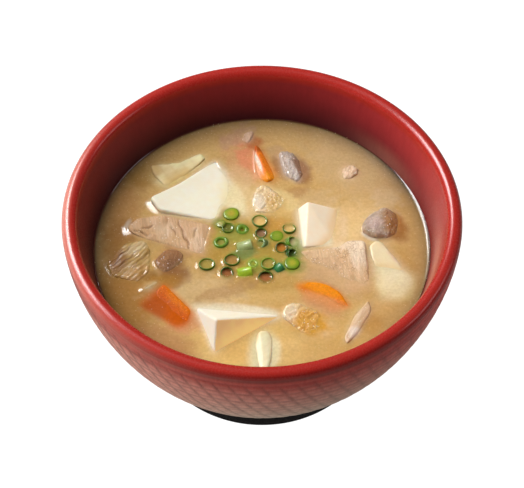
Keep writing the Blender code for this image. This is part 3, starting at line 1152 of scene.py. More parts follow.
def read_mesh(mesh: bpy.types.Mesh) -> tuple[np.ndarray, np.ndarray, np.ndarray]:
    """Reads a mesh.

    Args:
        mesh: the mesh, in metres.

    Returns:
        Its points in mm, their normals, and its triangles as indices of points.
    """
    points = np.empty(len(mesh.vertices) * 3, np.float32)
    mesh.vertices.foreach_get("co", points)
    normals = np.empty(len(mesh.vertices) * 3, np.float32)
    mesh.vertex_normals.foreach_get("vector", normals)
    mesh.calc_loop_triangles()
    triangles = np.empty(len(mesh.loop_triangles) * 3, np.int32)
    mesh.loop_triangles.foreach_get("vertices", triangles)
    points = points.reshape(-1, 3).astype(float) / MM
    return points, normals.reshape(-1, 3).astype(float), triangles.reshape(-1, 3)


def soaked(cut: Cut, colours: np.ndarray, points: np.ndarray, pools: Sequence[Patch]) -> np.ndarray:
    """Turns a piece's colours towards the broth's near the waterline.

    Args:
        cut: the piece.
        colours: one colour a point.
        points: the points in mm.
        pools: the areas of other colours in the broth.

    Returns:
        The new colours.
    """
    share = cut.soak * ease(SOUP_LEVEL + cut.soak_height, SOUP_LEVEL - 0.1, points[:, 2])[:, None]
    return mix(colours, tinted(points, BROTH_TINT, pools), share)


@dataclass
class FoodSet:
    """Pieces of one kind of food, which share a finish."""

    finish: FoodFinish
    cuts: list[Cut]
    voxel: float = 0.38
    split_dark: Colour = (1.2, 1.5, 1.8)  # how much a split of 1 mm would darken each channel

    def build(self, nodes: dict[str, bpy.types.Object], shelf: Shelf, pools: Sequence[Patch]) -> list[Morsel]:
        """Makes the pieces.

        Args:
            nodes: the CAD nodes by name.
            shelf: the shared node groups.
            pools: the areas of other colours in the broth.

        Returns:
            The pieces with their shapes.
        """
        material = self.finish.build(shelf)
        morsels = []
        for cut in self.cuts:
            mesh = fine_copy(nodes[cut.node], self.voxel, cut.rounding)
            points, normals, triangles = read_mesh(mesh)
            faces = [tuple(polygon.vertices) for polygon in mesh.polygons]
            bpy.data.meshes.remove(mesh)
            points = points + normals * cut.lift(points)[:, None]
            for sink in cut.sinks:
                points[:, 2] -= sink.drop(points)
            piece = add_piece(f"{cut.node}_piece", points, faces, material, [cut.node])
            colours = tinted(points, cut.colour, cut.patches)
            colours *= 1 - cut.split_depth(points)[:, None] * np.array(self.split_dark)
            glow = np.zeros(len(points))
            # The sides paint light and shade by the way each face looks, and a painted glow.
            for side in cut.sides:
                share = side.mask(normals)
                glow += side.glow * share
                colours = mix(colours, tinted(points, side.colour, side.patches), share[:, None])
            paint(piece, soaked(cut, colours, points, pools), 1 - glow)
            morsels.append(Morsel(piece, points, triangles, cut))
        return morsels


def tofu_set() -> FoodSet:
    """A roofed block, a cube with a corner up, and a large block; the right sides of both blocks sink.

    Returns:
        The set.
    """
    finish = FoodFinish(
        "tofu_curd", "tofu", dark=0.98, grain_mm=2.4, hard=1.6, roughness=0.45, bump=0.00001, fine_mm=0.6,
        coat=0.05, gloss=0.15, subsurface=0.35, reach_mm=1.0,
    )
    shape = dict(relief=Relief.PORES, depth=0.06)
    far_side = Patch((-7.4, 20.0), (7.0, 14.0), -10, srgb(252, 234, 184), 0.9)
    right_end = Patch((27.6, 7.6), (6.0, 13.0), 0, srgb(246, 212, 152), 1.0, ragged=0.1)
    # The right slope of the roof, away from the light: a cream tan with a little painted glow that lightens
    # its shade.
    roof = Side(0, 72, srgb(252, 232, 204), 0.8, near=0.8, full=0.95, glow=0.1, patches=(right_end,))
    # The face that looks to the front right lies in shade: painted shade brown at its top, the broth's tan
    # further down, and a painted glow that lightens it.
    sunk_front = Patch((-4.4, -36.0), (15.0, 4.2), 33, srgb(240, 206, 132), 1.0, ragged=0.2)
    under = Side(-56, 34, srgb(214, 178, 124), 1.0, near=0.82, full=0.95, glow=0.5, patches=(sunk_front,))
    # Painted light: the end that faces the light is painted whiter, with a little painted glow.
    lit_end = Side(-161, 20, srgb(255, 248, 234), 0.8, near=0.82, full=0.95, glow=0.1)
    right_sinks = Sink((-6.4, 20.0), -14, slope=0.3, start=3.0)
    soup_side = Patch((-5.0, -37.4), (13.0, 4.2), 33, srgb(244, 206, 134), 1.0, ragged=0.1)
    block_sinks = Sink((24.0, 8.0), 0, slope=0.5, start=2.0)
    return FoodSet(finish, [
        Cut(
            "tofu_right", CREAM, meniscus=0.3, fade=3.0, bleed=1.2, soak=0.8, soak_height=1.0,
            sides=(roof,), patches=(right_end,), sinks=(block_sinks,), rounding=3, **shape,
        ),
        Cut(
            "tofu_front", CREAM, meniscus=0.1, fade=1.0, bleed=0.8, soak=0.4, soak_height=0.4,
            sides=(under, lit_end), veil=(soup_side,), rounding=6, **shape,
        ),
        Cut(
            "tofu_left", CREAM, meniscus=0.65, spread=1.8, fade=9.0, bleed=1.2, soak=0.4, soak_height=0.3,
            patches=(far_side,), sinks=(right_sinks,), rounding=5, **shape,
        ),
    ])


def pork_finish(name: str, crackle_mm: float) -> FoodFinish:
    """Simmered pork: pale fibres, with a net of cracks where it crumbles.

    Args:
        name: the finish's name.
        crackle_mm: size of the cells of the net, or 0 for none.

    Returns:
        The finish.
    """
    return FoodFinish(
        name, "pork", dark=0.78, grain_mm=0.6, hard=2.0, stretch=6.0, run_deg=-98, fleck=srgb(248, 230, 204),
        fleck_mm=0.6, fleck_share=0.16, roughness=0.55, bump=0.0001, coat=0.05, gloss=0.2, reach_mm=1.0,
        crackle_mm=crackle_mm,
    )


def left_pork_set() -> FoodSet:
    """The folded slice at the left.

    Returns:
        The set.
    """
    left_shade = Patch((-30.0, 8.0), (9.0, 3.5), 10, srgb(210, 168, 128), 0.4)
    right_pale = Patch((-20.6, 1.6), (2.2, 4.4), 10, srgb(242, 212, 178), 0.7, ragged=0.6)
    mid_pale = Patch((-31.4, 5.6), (3.4, 3.0), 20, srgb(236, 204, 166), 0.6, ragged=0.6)
    left_low = Patch((-34.0, 3.4), (9.0, 3.0), -10, srgb(212, 168, 116), 0.7)
    splits = (
        (-26.8, 8.6, 6.0, 104), (-25.4, 4.4, 7.0, 108), (-23.8, 0.8, 5.0, 104), (-28.6, 6.0, 4.0, 108),
        (-21.6, 5.0, 3.5, 70), (-39.4, 5.0, 5.6, -22), (-37.0, 7.2, 4.0, 24),
    )
    return FoodSet(pork_finish("simmered_pork", 0.0), [
        Cut(
            "pork_left", srgb(226, 184, 140), Relief.FIBRES, 0.14, run_deg=98, meniscus=0.7, spread=1.4,
            fade=2.4, bleed=0.8, soak=0.4, soak_height=0.5,
            patches=(left_shade, left_low, right_pale, mid_pale), splits=splits, rounding=3,
        ),
    ])


def crumbly_pork_set() -> FoodSet:
    """The slice at the right, which goes down into the broth, and two scraps.

    Returns:
        The set.
    """
    pale = srgb(252, 230, 200)
    fat = Patch((31.0, -3.0), (3.4, 7.0), 8, pale, 0.9)
    top_fat = Patch((27.0, 0.6), (7.0, 2.2), 10, pale, 0.8)
    return FoodSet(pork_finish("crumbly_pork", 1.3), [
        Cut(
            "pork_right", srgb(232, 194, 148), Relief.FIBRES, 0.06, run_deg=62, meniscus=0.2, fade=5.0,
            bleed=1.4, soak=0.8, soak_height=0.4, patches=(fat, top_fat), rounding=7,
            sinks=(Sink((14.5, -4.0), 195, slope=0.12, start=2.0),),
        ),
        Cut(
            "pork_scrap_back", srgb(226, 190, 162), Relief.CRUMPLE, 0.3, run_deg=60, meniscus=0.3,
            fade=3.0, bleed=1.0,
        ),
        Cut(
            "pork_scrap_right", srgb(240, 206, 172), Relief.CRUMPLE, 0.35, run_deg=40, pitch=1.2,
            meniscus=0.3, fade=3.0, bleed=1.2, soak=0.8, sinks=(Sink((28.4, 31.4), 110, slope=0.3),),
        ),
    ])


def carrot_set() -> FoodSet:
    """A roof-shaped wedge, a quarter slice that leans into the soup, and a half slice with its rim up.

    Returns:
        The set.
    """
    finish = FoodFinish(
        "simmered_carrot", "carrot", dark=0.8, grain_mm=0.8, hard=2.2, fleck=srgb(255, 160, 50),
        fleck_mm=0.45, fleck_share=0.2, roughness=0.45, bump=0.0001, coat=0.06, gloss=0.05, reach_mm=1.0,
    )
    top = Patch((-1.6, 41.6), (2.6, 3.0), 0, srgb(190, 92, 40), 0.8)
    flank = Patch((-2.6, 33.0), (1.9, 8.0), 20, srgb(255, 184, 140), 0.85)
    low = Patch((2.4, 28.0), (3.2, 2.8), 0, srgb(255, 158, 34), 0.9)
    # A painted highlight: a white glint along the ridge.
    ridge_glint = Patch((-1.3, 34.8), (5.4, 0.6), -72, srgb(255, 240, 222), 1.0, ragged=0.2)
    bright = Patch((-25.4, -20.8), (8.0, 3.4), -48, srgb(242, 134, 12), 0.7)
    rusty = Patch((-34.5, -25.0), (6.0, 5.0), 30, srgb(200, 98, 40), 0.8)
    rim = Patch((17.8, -16.4), (10.5, 2.2), -28, srgb(255, 156, 6), 0.95)
    under_rim = Patch((20.0, -22.4), (9.0, 3.0), -28, srgb(240, 170, 112), 0.8)
    return FoodSet(finish, [
        Cut(
            "carrot_back", srgb(255, 138, 40), Relief.SMOOTH, 0.08, meniscus=0.4, fade=2.4, bleed=1.4,
            soak=0.1, patches=(flank, top, low, ridge_glint),
        ),
        Cut(
            "carrot_left", srgb(222, 102, 6), Relief.PORES, 0.16, meniscus=0.2, spread=1.0, fade=6.0,
            bleed=1.0, soak=0.0, patches=(bright, rusty), rounding=12,
        ),
        Cut(
            "carrot_right", srgb(244, 130, 8), Relief.RIBS, 0.09, run_deg=-30, pitch=1.5, meniscus=0.35,
            fade=3.0, bleed=0.9, soak=0.0, patches=(under_rim, rim),
            sinks=(Sink((18.6, -18.8), -118, slope=0.3),),
        ),
    ])


def burdock_set() -> FoodSet:
    """Grey-lilac root, cut on the slant, brown where the skin was.

    Returns:
        The set.
    """
    finish = FoodFinish(
        "burdock_root", "burdock", dark=0.8, grain_mm=0.9, hard=2.2, fleck=srgb(250, 240, 236), fleck_mm=0.7,
        fleck_share=0.13, roughness=0.36, bump=0.00035, coat=0.4, reach_mm=1.0,
    )
    lilac = srgb(220, 200, 184)
    back_side = Patch((12.8, 33.0), (2.2, 6.0), 15, srgb(176, 128, 94), 0.9)
    # A painted highlight: a pale strip along the left edge.
    back_edge_glint = Patch((10.2, 31.4), (1.2, 5.0), 25, srgb(236, 222, 214), 0.8)
    right_side = Patch((43.8, 8.0), (4.8, 7.0), 20, srgb(198, 144, 84), 1.0)
    pale_spot = Patch((36.4, 8.0), (3.0, 3.6), 0, srgb(236, 212, 200), 0.8, ragged=0.5)
    left_side = Patch((-27.2, -8.8), (4.2, 5.0), -30, srgb(158, 108, 66), 0.9)
    return FoodSet(finish, [
        Cut(
            "burdock_back", lilac, Relief.CRUMPLE, 0.26, run_deg=-70, pitch=1.4, meniscus=0.25, fade=2.6,
            bleed=0.9, patches=(back_side, back_edge_glint), rounding=6,
            sinks=(Sink((12.4, 33.0), 20, slope=0.4),),
        ),
        Cut(
            "burdock_right", srgb(208, 184, 160), Relief.CRUMPLE, 0.26, pitch=1.8, meniscus=0.5, fade=2.6,
            bleed=1.1, patches=(right_side, pale_spot), rounding=7,
            sinks=(Sink((41.0, 9.6), 20, slope=0.45, start=1.0),),
        ),
        Cut(
            "burdock_left", srgb(184, 130, 80), Relief.CRUMPLE, 0.14, run_deg=40, pitch=2.0, meniscus=0.3,
            fade=3.0, bleed=1.3, soak=0.9, patches=(left_side,), rounding=10,
            sinks=(Sink((-28.4, -7.6), -60, slope=0.3, start=1.5),),
        ),
    ])


def daikon_set() -> FoodSet:
    """Crumbling translucent white root.

    Returns:
        The set.
    """
    finish = FoodFinish(
        "simmered_daikon", "daikon", dark=0.9, grain_mm=1.0, hard=2.2, fleck=srgb(255, 248, 232),
        fleck_mm=0.55, fleck_share=0.16, roughness=0.26, bump=0.00018, coat=0.5, subsurface=0.4,
    )
    glassy = srgb(244, 216, 168)
    back_amber = Patch((4.6, 16.8), (5.0, 5.0), 0, AMBER, 0.8)
    back_white = Patch((-1.4, 18.6), (2.2, 4.6), 25, srgb(252, 234, 208), 0.8)
    front_amber = Patch((14.8, -30.0), (7.4, 5.6), -20, srgb(236, 178, 76), 1.0)
    front_white = Patch((8.0, -26.2), (3.4, 4.0), 0, srgb(254, 232, 196), 0.8)
    return FoodSet(finish, [
        Cut(
            "daikon_back", glassy, Relief.CRUMPLE, 0.24, run_deg=60, pitch=1.4, meniscus=0.15, fade=4.0,
            bleed=1.4, soak=0.8, soak_height=0.5, patches=(back_amber, back_white), rounding=8,
        ),
        Cut(
            "daikon_front", glassy, Relief.CRUMPLE, 0.3, run_deg=20, pitch=1.5, meniscus=0.15, fade=5.0,
            bleed=1.2, soak=0.5, soak_height=0.4, patches=(front_amber, front_white), rounding=6,
        ),
    ])


def taro_set() -> FoodSet:
    """The smooth pale wedge beside the pork.

    Returns:
        The set.
    """
    finish = FoodFinish(
        "simmered_taro", "daikon", dark=0.96, grain_mm=2.0, hard=1.6, roughness=0.4, bump=0.00003, coat=0.1,
        subsurface=0.4, reach_mm=1.2,
    )
    pink_edge = Patch((44.6, -6.4), (7.6, 1.7), -52, srgb(244, 216, 186), 0.8)
    yellow_low = Patch((40.0, -13.2), (5.4, 6.0), 0, srgb(250, 230, 164), 0.7)
    pale_under = Patch((42.0, -13.6), (9.0, 7.0), -35, srgb(255, 246, 210), 1.0, ragged=0.1)
    return FoodSet(finish, [
        Cut(
            "taro_right", srgb(243, 228, 186), Relief.SMOOTH, 0.05, meniscus=0.15, fade=5.0, bleed=1.6,
            soak=0.5, soak_height=0.3, patches=(pink_edge, yellow_low), veil=(pale_under,), rounding=8,
            sinks=(Sink((38.0, -14.0), -125, slope=0.2, start=4.0),),
        ),
    ])


def leaf_set() -> FoodSet:
    """The glistening ribbed layers at the left, and a scrap of the same.

    Returns:
        The set.
    """
    finish = FoodFinish(
        "onion_layers", "onion", dark=0.84, grain_mm=1.0, hard=2.0, stretch=3.0, run_deg=-35, fleck_mm=0.7,
        roughness=0.24, bump=0.0002, subsurface=0.4, reach_mm=1.2,
    )
    umber = Patch((-46.8, -5.6), (4.0, 6.0), 10, srgb(166, 116, 62), 0.9)
    gold = Patch((-38.2, -12.0), (7.0, 4.2), 20, srgb(204, 154, 84), 0.8)
    pale_top = Patch((-40.0, -0.6), (4.6, 2.4), 40, srgb(232, 204, 152), 0.8, ragged=0.5)
    splits = ((-44.6, -3.4, 8.0, 48), (-42.0, -4.6, 9.0, 46), (-39.4, -6.4, 8.0, 50), (-46.4, -7.0, 4.0, 44))
    return FoodSet(finish, [
        Cut(
            "onion_left", srgb(200, 162, 94), Relief.RIBS, 0.24, run_deg=46, pitch=1.4, meniscus=0.15,
            fade=3.0, bleed=1.2, soak=0.9, patches=(umber, gold, pale_top), splits=splits, rounding=8,
        ),
        Cut(
            "onion_scrap", srgb(224, 196, 150), Relief.SMOOTH, 0.1, meniscus=0.5, bleed=0.9,
        ),
    ])


def layer_set() -> FoodSet:
    """The pale onion slice at the back and the strip of leek in front.

    Returns:
        The set.
    """
    finish = FoodFinish(
        "pale_layers", "onion", dark=0.9, grain_mm=1.4, hard=1.6, stretch=4.0, run_deg=-35, roughness=0.42,
        bump=0.00005, coat=0.12, gloss=0.16, subsurface=0.35, reach_mm=1.2,
    )
    lower_gold = Patch((-27.0, 28.0), (6.0, 3.4), 30, srgb(250, 224, 148), 0.8)
    brown_tip = Patch((-36.2, 31.0), (2.8, 3.6), 0, srgb(214, 178, 114), 0.8)
    return FoodSet(finish, [
        Cut(
            "onion_back", srgb(255, 248, 198), Relief.RIBS, 0.14, run_deg=-52, pitch=3.4, meniscus=0.2,
            fade=4.0, bleed=1.4, soak=0.9, soak_height=1.5, patches=(lower_gold, brown_tip), rounding=14,
            sinks=(Sink((-27.0, 29.6), -60, slope=0.25, start=2.0),),
        ),
        Cut(
            "leek_front", srgb(246, 240, 200), Relief.RIBS, 0.06, run_deg=-86, pitch=1.8, meniscus=0.05,
            fade=5.0, bleed=1.8, soak=0.9, soak_height=1.2, rounding=10,
        ),
    ])


def shaving_set() -> FoodSet:
    """A thin pale sliver that lies on edge.

    Returns:
        The set.
    """
    finish = FoodFinish(
        "root_shaving", "shaving", dark=0.86, grain_mm=0.8, hard=2.0, stretch=5.0, run_deg=-62,
        fleck=srgb(255, 240, 220), fleck_mm=0.5, fleck_share=0.2, bump=0.0001, coat=0.3, reach_mm=1.0,
    )
    white_end = Patch((29.4, -34.4), (2.4, 3.0), 62, srgb(255, 244, 230), 0.8)
    cut = Cut("burdock_shaving", srgb(228, 196, 156), Relief.RIBS, 0.1, run_deg=62, pitch=1.5, meniscus=0.3,
              fade=3.0, bleed=1.1, soak=0.7, patches=(white_end,))
    return FoodSet(finish, [cut])


# ---------------- scallions


class RingKind(Enum):
    """How a scallion ring is filled, as the share of its radius that is open."""

    OPEN = 0.84
    THICK = 0.52
    NARROW = 0.24
    FILLED = 0.0


LIME = srgb(150, 182, 34)
LEAF = srgb(104, 148, 42)
MOSS = srgb(86, 120, 32)
BOTTLE = srgb(44, 92, 34)
TEAL = srgb(66, 142, 84)


@dataclass(frozen=True)
class Ring:
    """One scallion ring: its place, size and lean as in the frame, its filling, and its colours."""

    x: float
    y: float
    radius: float
    length: float
    lean_deg: float
    towards_deg: float
    kind: RingKind
    skin: Colour
    hole: Optional[Colour] = None
    shows: float = 0.9
    sides: int = 28
    oval: float = 0.06  # how far it is out of round, as a share of the radius
    uneven: float = 0.03

    def matrix(self) -> Matrix:
        """Places the ring's own frame, whose Z is its axis, with its top a little above the soup.

        Returns:
            The frame's place, in mm.
        """
        tilt = math.radians(self.lean_deg)
        top = 0.5 * self.length * math.cos(tilt) + self.radius * math.sin(tilt)
        shows = self.shows + 0.6 * self.radius * math.sin(tilt)
        heading = Matrix.Rotation(math.radians(self.towards_deg), 4, "Z")
        leaning = Matrix.Rotation(tilt, 4, "Y")
        return Matrix.Translation((self.x, self.y, SOUP_LEVEL + shows - top)) @ heading @ leaning

    def profile(self) -> list[tuple[float, float, float]]:
        """Half of its section, from the axis or the hole, over the top and down the outside.

        Returns:
            Radius, height and how far out through the wall, from 0 at the hole to 1 at the skin.
        """
        half = 0.5 * self.length
        if self.kind is RingKind.FILLED:
            shares = (0.0, 0.3, 0.55, 0.75, 0.9)
            rows = [(self.radius * share, half - 0.05 - 0.12 * share * share, share) for share in shares]
            rows += [(self.radius * 0.98, half - 0.3, 1.0), (self.radius, half - 0.7, 1.0)]
            return rows + [(self.radius, -half, 1.0)]
        inner = self.radius * self.kind.value
        wall = self.radius - inner
        rows = [(inner, -half, 0.0), (inner, half - 0.5 * wall, 0.0)]
        for angle in np.linspace(math.pi, 0, 7)[1:-1]:
            share = 0.5 + 0.5 * math.cos(angle)
            rows.append((inner + wall * share, half - 0.5 * wall * (1 - math.sin(angle)), share))
        return rows + [(self.radius, half - 0.5 * wall, 1.0), (self.radius, -half, 1.0)]

    def build(self, seed: int) -> tuple[np.ndarray, Faces, np.ndarray]:
        """Makes the ring.

        Args:
            seed: makes its outline uneven in its own way.

        Returns:
            Its points in mm, its faces and its colours.
        """
        rows = self.profile()
        sides = self.sides
        angles = np.linspace(0, 2 * math.pi, sides, endpoint=False)
        oval = self.oval * (0.5 + 0.5 * np.sin(2 * angles + seed))
        uneven = self.uneven * (0.5 + 0.5 * np.sin(3 * angles + 2.1 * seed))
        outline = 1 - oval - uneven
        closed = self.kind is not RingKind.FILLED
        local = [
            (radius * scale * math.cos(angle), radius * scale * math.sin(angle), height)
            for radius, height, _ in rows
            for angle, scale in zip(angles, outline)
        ]
        faces: Faces = []
        for row in range(len(rows) if closed else len(rows) - 1):
            after = (row + 1) % len(rows)
            for i in range(sides):
                j = (i + 1) % sides
                faces.append((row * sides + i, after * sides + i, after * sides + j, row * sides + j))
        if not closed:
            faces.append(tuple(range(len(local) - sides, len(local))))
        place = self.matrix()
        points = np.array([place @ Vector(point) for point in local])
        skin = np.array(self.skin)
        out = np.repeat([share for _, _, share in rows], sides)[:, None]
        if closed:
            flesh = skin * 0.6 + np.array(LIME) * 0.35
            return points, faces, flesh + (skin - flesh) * ease(0.3, 0.8, out)
        core = np.array(self.hole or self.skin)
        colours = core + (skin - core) * ease(0.1, 0.8, out)
        return points, faces, colours * (1 - 0.45 * ease(0.8, 1.0, out))


@dataclass
class Scallions:
    """The chopped scallion rings, as one piece."""

    rings: list[Ring]

    def build(self, material: bpy.types.Material) -> tuple[bpy.types.Object, list[Morsel]]:
        """Makes the rings.

        Args:
            material: their finish.

        Returns:
            The joined piece, and each ring's own shape for the broth.
        """
        all_points: list[np.ndarray] = []
        all_colours: list[np.ndarray] = []
        all_faces: Faces = []
        shapes = []
        start = 0
        for seed, ring in enumerate(self.rings):
            points, faces, colours = ring.build(seed)
            all_points.append(points)
            all_colours.append(colours)
            all_faces += [tuple(start + index for index in face) for face in faces]
            triangles = [(face[0], face[i], face[i + 1]) for face in faces for i in range(1, len(face) - 1)]
            cut = Cut(f"ring_{seed}", ring.skin, Relief.SMOOTH, 0.0, fade=1.4, bleed=0.45, seen=0.75)
            shapes.append((points, np.array(triangles), cut))
            start += len(points)
        joined = np.concatenate(all_points)
        piece = add_piece("scallion_rings", joined, all_faces, material, ["soup"])
        paint(piece, np.concatenate(all_colours))
        return piece, [Morsel(piece, *shape) for shape in shapes]


def scallion_finish() -> FoodFinish:
    """Wet chopped scallion.

    Returns:
        The finish, which takes its colour from the paint.
    """
    return FoodFinish(
        "chopped_scallion", "scallion", dark=0.8, grain_mm=0.5, hard=1.6, bump=0.00003, coat=0.3,
        subsurface=0.2, reach_mm=0.8,
    )


def scallion_rings() -> Scallions:
    """The rings as they lie in the middle of the soup.

    Returns:
        The rings.
    """
    olive = srgb(186, 164, 84)
    tan = srgb(190, 146, 84)
    rust = srgb(176, 104, 64)
    bright = srgb(244, 208, 136)
    ring, kind = Ring, RingKind
    return Scallions([
        ring(-10.0, 13.0, 2.75, 3.0, 2, 90, kind.FILLED, srgb(142, 168, 22), srgb(190, 168, 40)),
        ring(-13.2, 8.9, 1.65, 3.0, 8, 160, kind.FILLED, srgb(140, 150, 46), srgb(170, 160, 60)),
        ring(-11.2, 7.2, 2.1, 3.0, 8, 20, kind.OPEN, MOSS, srgb(126, 128, 62)),
        ring(-6.4, 6.8, 2.3, 3.0, 12, 285, kind.NARROW, LEAF, rust),
        ring(-0.7, 10.0, 2.7, 3.0, 7, 100, kind.OPEN, MOSS, bright),
        ring(-0.3, 5.3, 2.0, 3.0, 10, 265, kind.OPEN, BOTTLE, srgb(164, 122, 96)),
        ring(0.3, 1.3, 2.0, 3.0, 40, 200, kind.THICK, srgb(110, 140, 84), olive),
        ring(-13.2, 1.4, 2.5, 3.0, 3, 100, kind.THICK, LEAF, srgb(176, 170, 90)),
        ring(-5.4, 0.1, 2.0, 4.8, 78, 12, kind.OPEN, srgb(170, 186, 120), olive),
        ring(4.7, 4.0, 2.25, 3.0, 10, 330, kind.FILLED, srgb(134, 166, 34), srgb(164, 180, 60)),
        ring(8.8, 6.8, 2.3, 3.0, 13, 90, kind.OPEN, MOSS, bright),
        ring(9.4, 1.7, 2.1, 2.6, 38, 350, kind.OPEN, LEAF, srgb(236, 226, 176)),
        ring(6.2, -0.6, 2.1, 3.0, 10, 280, kind.OPEN, BOTTLE, srgb(208, 130, 52)),
        ring(9.2, -2.8, 1.8, 2.6, 40, 320, kind.OPEN, BOTTLE, srgb(70, 100, 50)),
        ring(-17.6, -7.6, 2.65, 3.0, 6, 90, kind.OPEN, MOSS, olive),
        ring(-9.6, -5.8, 2.6, 3.0, 2, 120, kind.OPEN, MOSS, tan),
        ring(-11.1, -10.5, 2.15, 3.0, 18, 268, kind.OPEN, BOTTLE, rust),
        ring(-2.8, -7.0, 2.1, 3.0, 4, 60, kind.NARROW, srgb(158, 180, 74), srgb(190, 176, 84), shows=0.4),
        ring(2.0, -7.4, 2.5, 3.0, 5, 100, kind.OPEN, LEAF, olive),
        ring(-5.3, -10.5, 1.8, 4.6, 82, 8, kind.OPEN, srgb(170, 206, 50), LIME),
        ring(1.2, -12.2, 2.4, 3.0, 20, 265, kind.OPEN, BOTTLE, rust),
        ring(5.5, -8.8, 1.7, 2.8, 70, 40, kind.THICK, TEAL, TEAL),
        ring(9.6, -7.2, 2.65, 3.0, 4, 60, kind.FILLED, srgb(124, 160, 26), srgb(186, 180, 46)),
    ])


# ---------------- the broth


@dataclass(frozen=True)
class BrothFinish:
    """Cloudy broth: painted colours, a fine cloud of miso and a wet surface."""

    name: str = "miso_broth"
    roughness: float = 0.1
    ripple: float = 0.000012
    cloud_mm: float = 1.0
    drift_mm: float = 7.0
    grain: Colour = srgb(246, 222, 176)  # grains of miso that float
    grain_mm: float = 0.55
    subsurface: float = 0.5
    reach_mm: float = 2.0
    scatter: Colour = (1.0, 0.7, 0.4)  # how far each channel of light spreads inside, as shares of the reach

    def build(self, shelf: Shelf) -> bpy.types.Material:
        """Makes the material.

        Args:
            shelf: the shared node groups.

        Returns:
            The material.
        """
        material, desk, shader = new_material(self.name)
        place = desk.place()
        tint = desk.add("Attribute", {"attribute_name": TINT}).outputs["Color"]
        shade = desk.blend(1.0, tint, (0.86, 0.83, 0.76), "MULTIPLY")
        cloud = desk.group(
            shelf.grain, Place=place, Size=self.cloud_mm, Stretch=1.0, Hard=1.8, Light=tint, Dark=shade
        )
        drift = desk.group(
            shelf.grain, Place=place, Size=self.drift_mm, Stretch=1.6, Hard=2.0, Light=(1.0, 1.0, 1.0),
            Dark=(0.9, 0.87, 0.81),
        )
        colour = desk.blend(1.0, cloud.outputs["Colour"], drift.outputs["Colour"], "MULTIPLY")
        pale = desk.group(shelf.flecks, Place=place, Size=self.grain_mm, Share=0.08)
        colour = desk.blend(desk.math("MULTIPLY", pale.outputs["Mask"], 0.35), colour, self.grain)
        skin = desk.group(
            shelf.skin, Place=place, Height=0.0, Depth=self.ripple, Fine=0.8, Roughness=self.roughness
        )
        desk.feed(
            shader, Base_Color=colour, Normal=skin.outputs["Normal"], Roughness=skin.outputs["Roughness"],
            IOR=STOCK_IOR, Subsurface_Weight=self.subsurface, Subsurface_Scale=self.reach_mm * MM,
            Subsurface_Radius=self.scatter,
        )
        return material


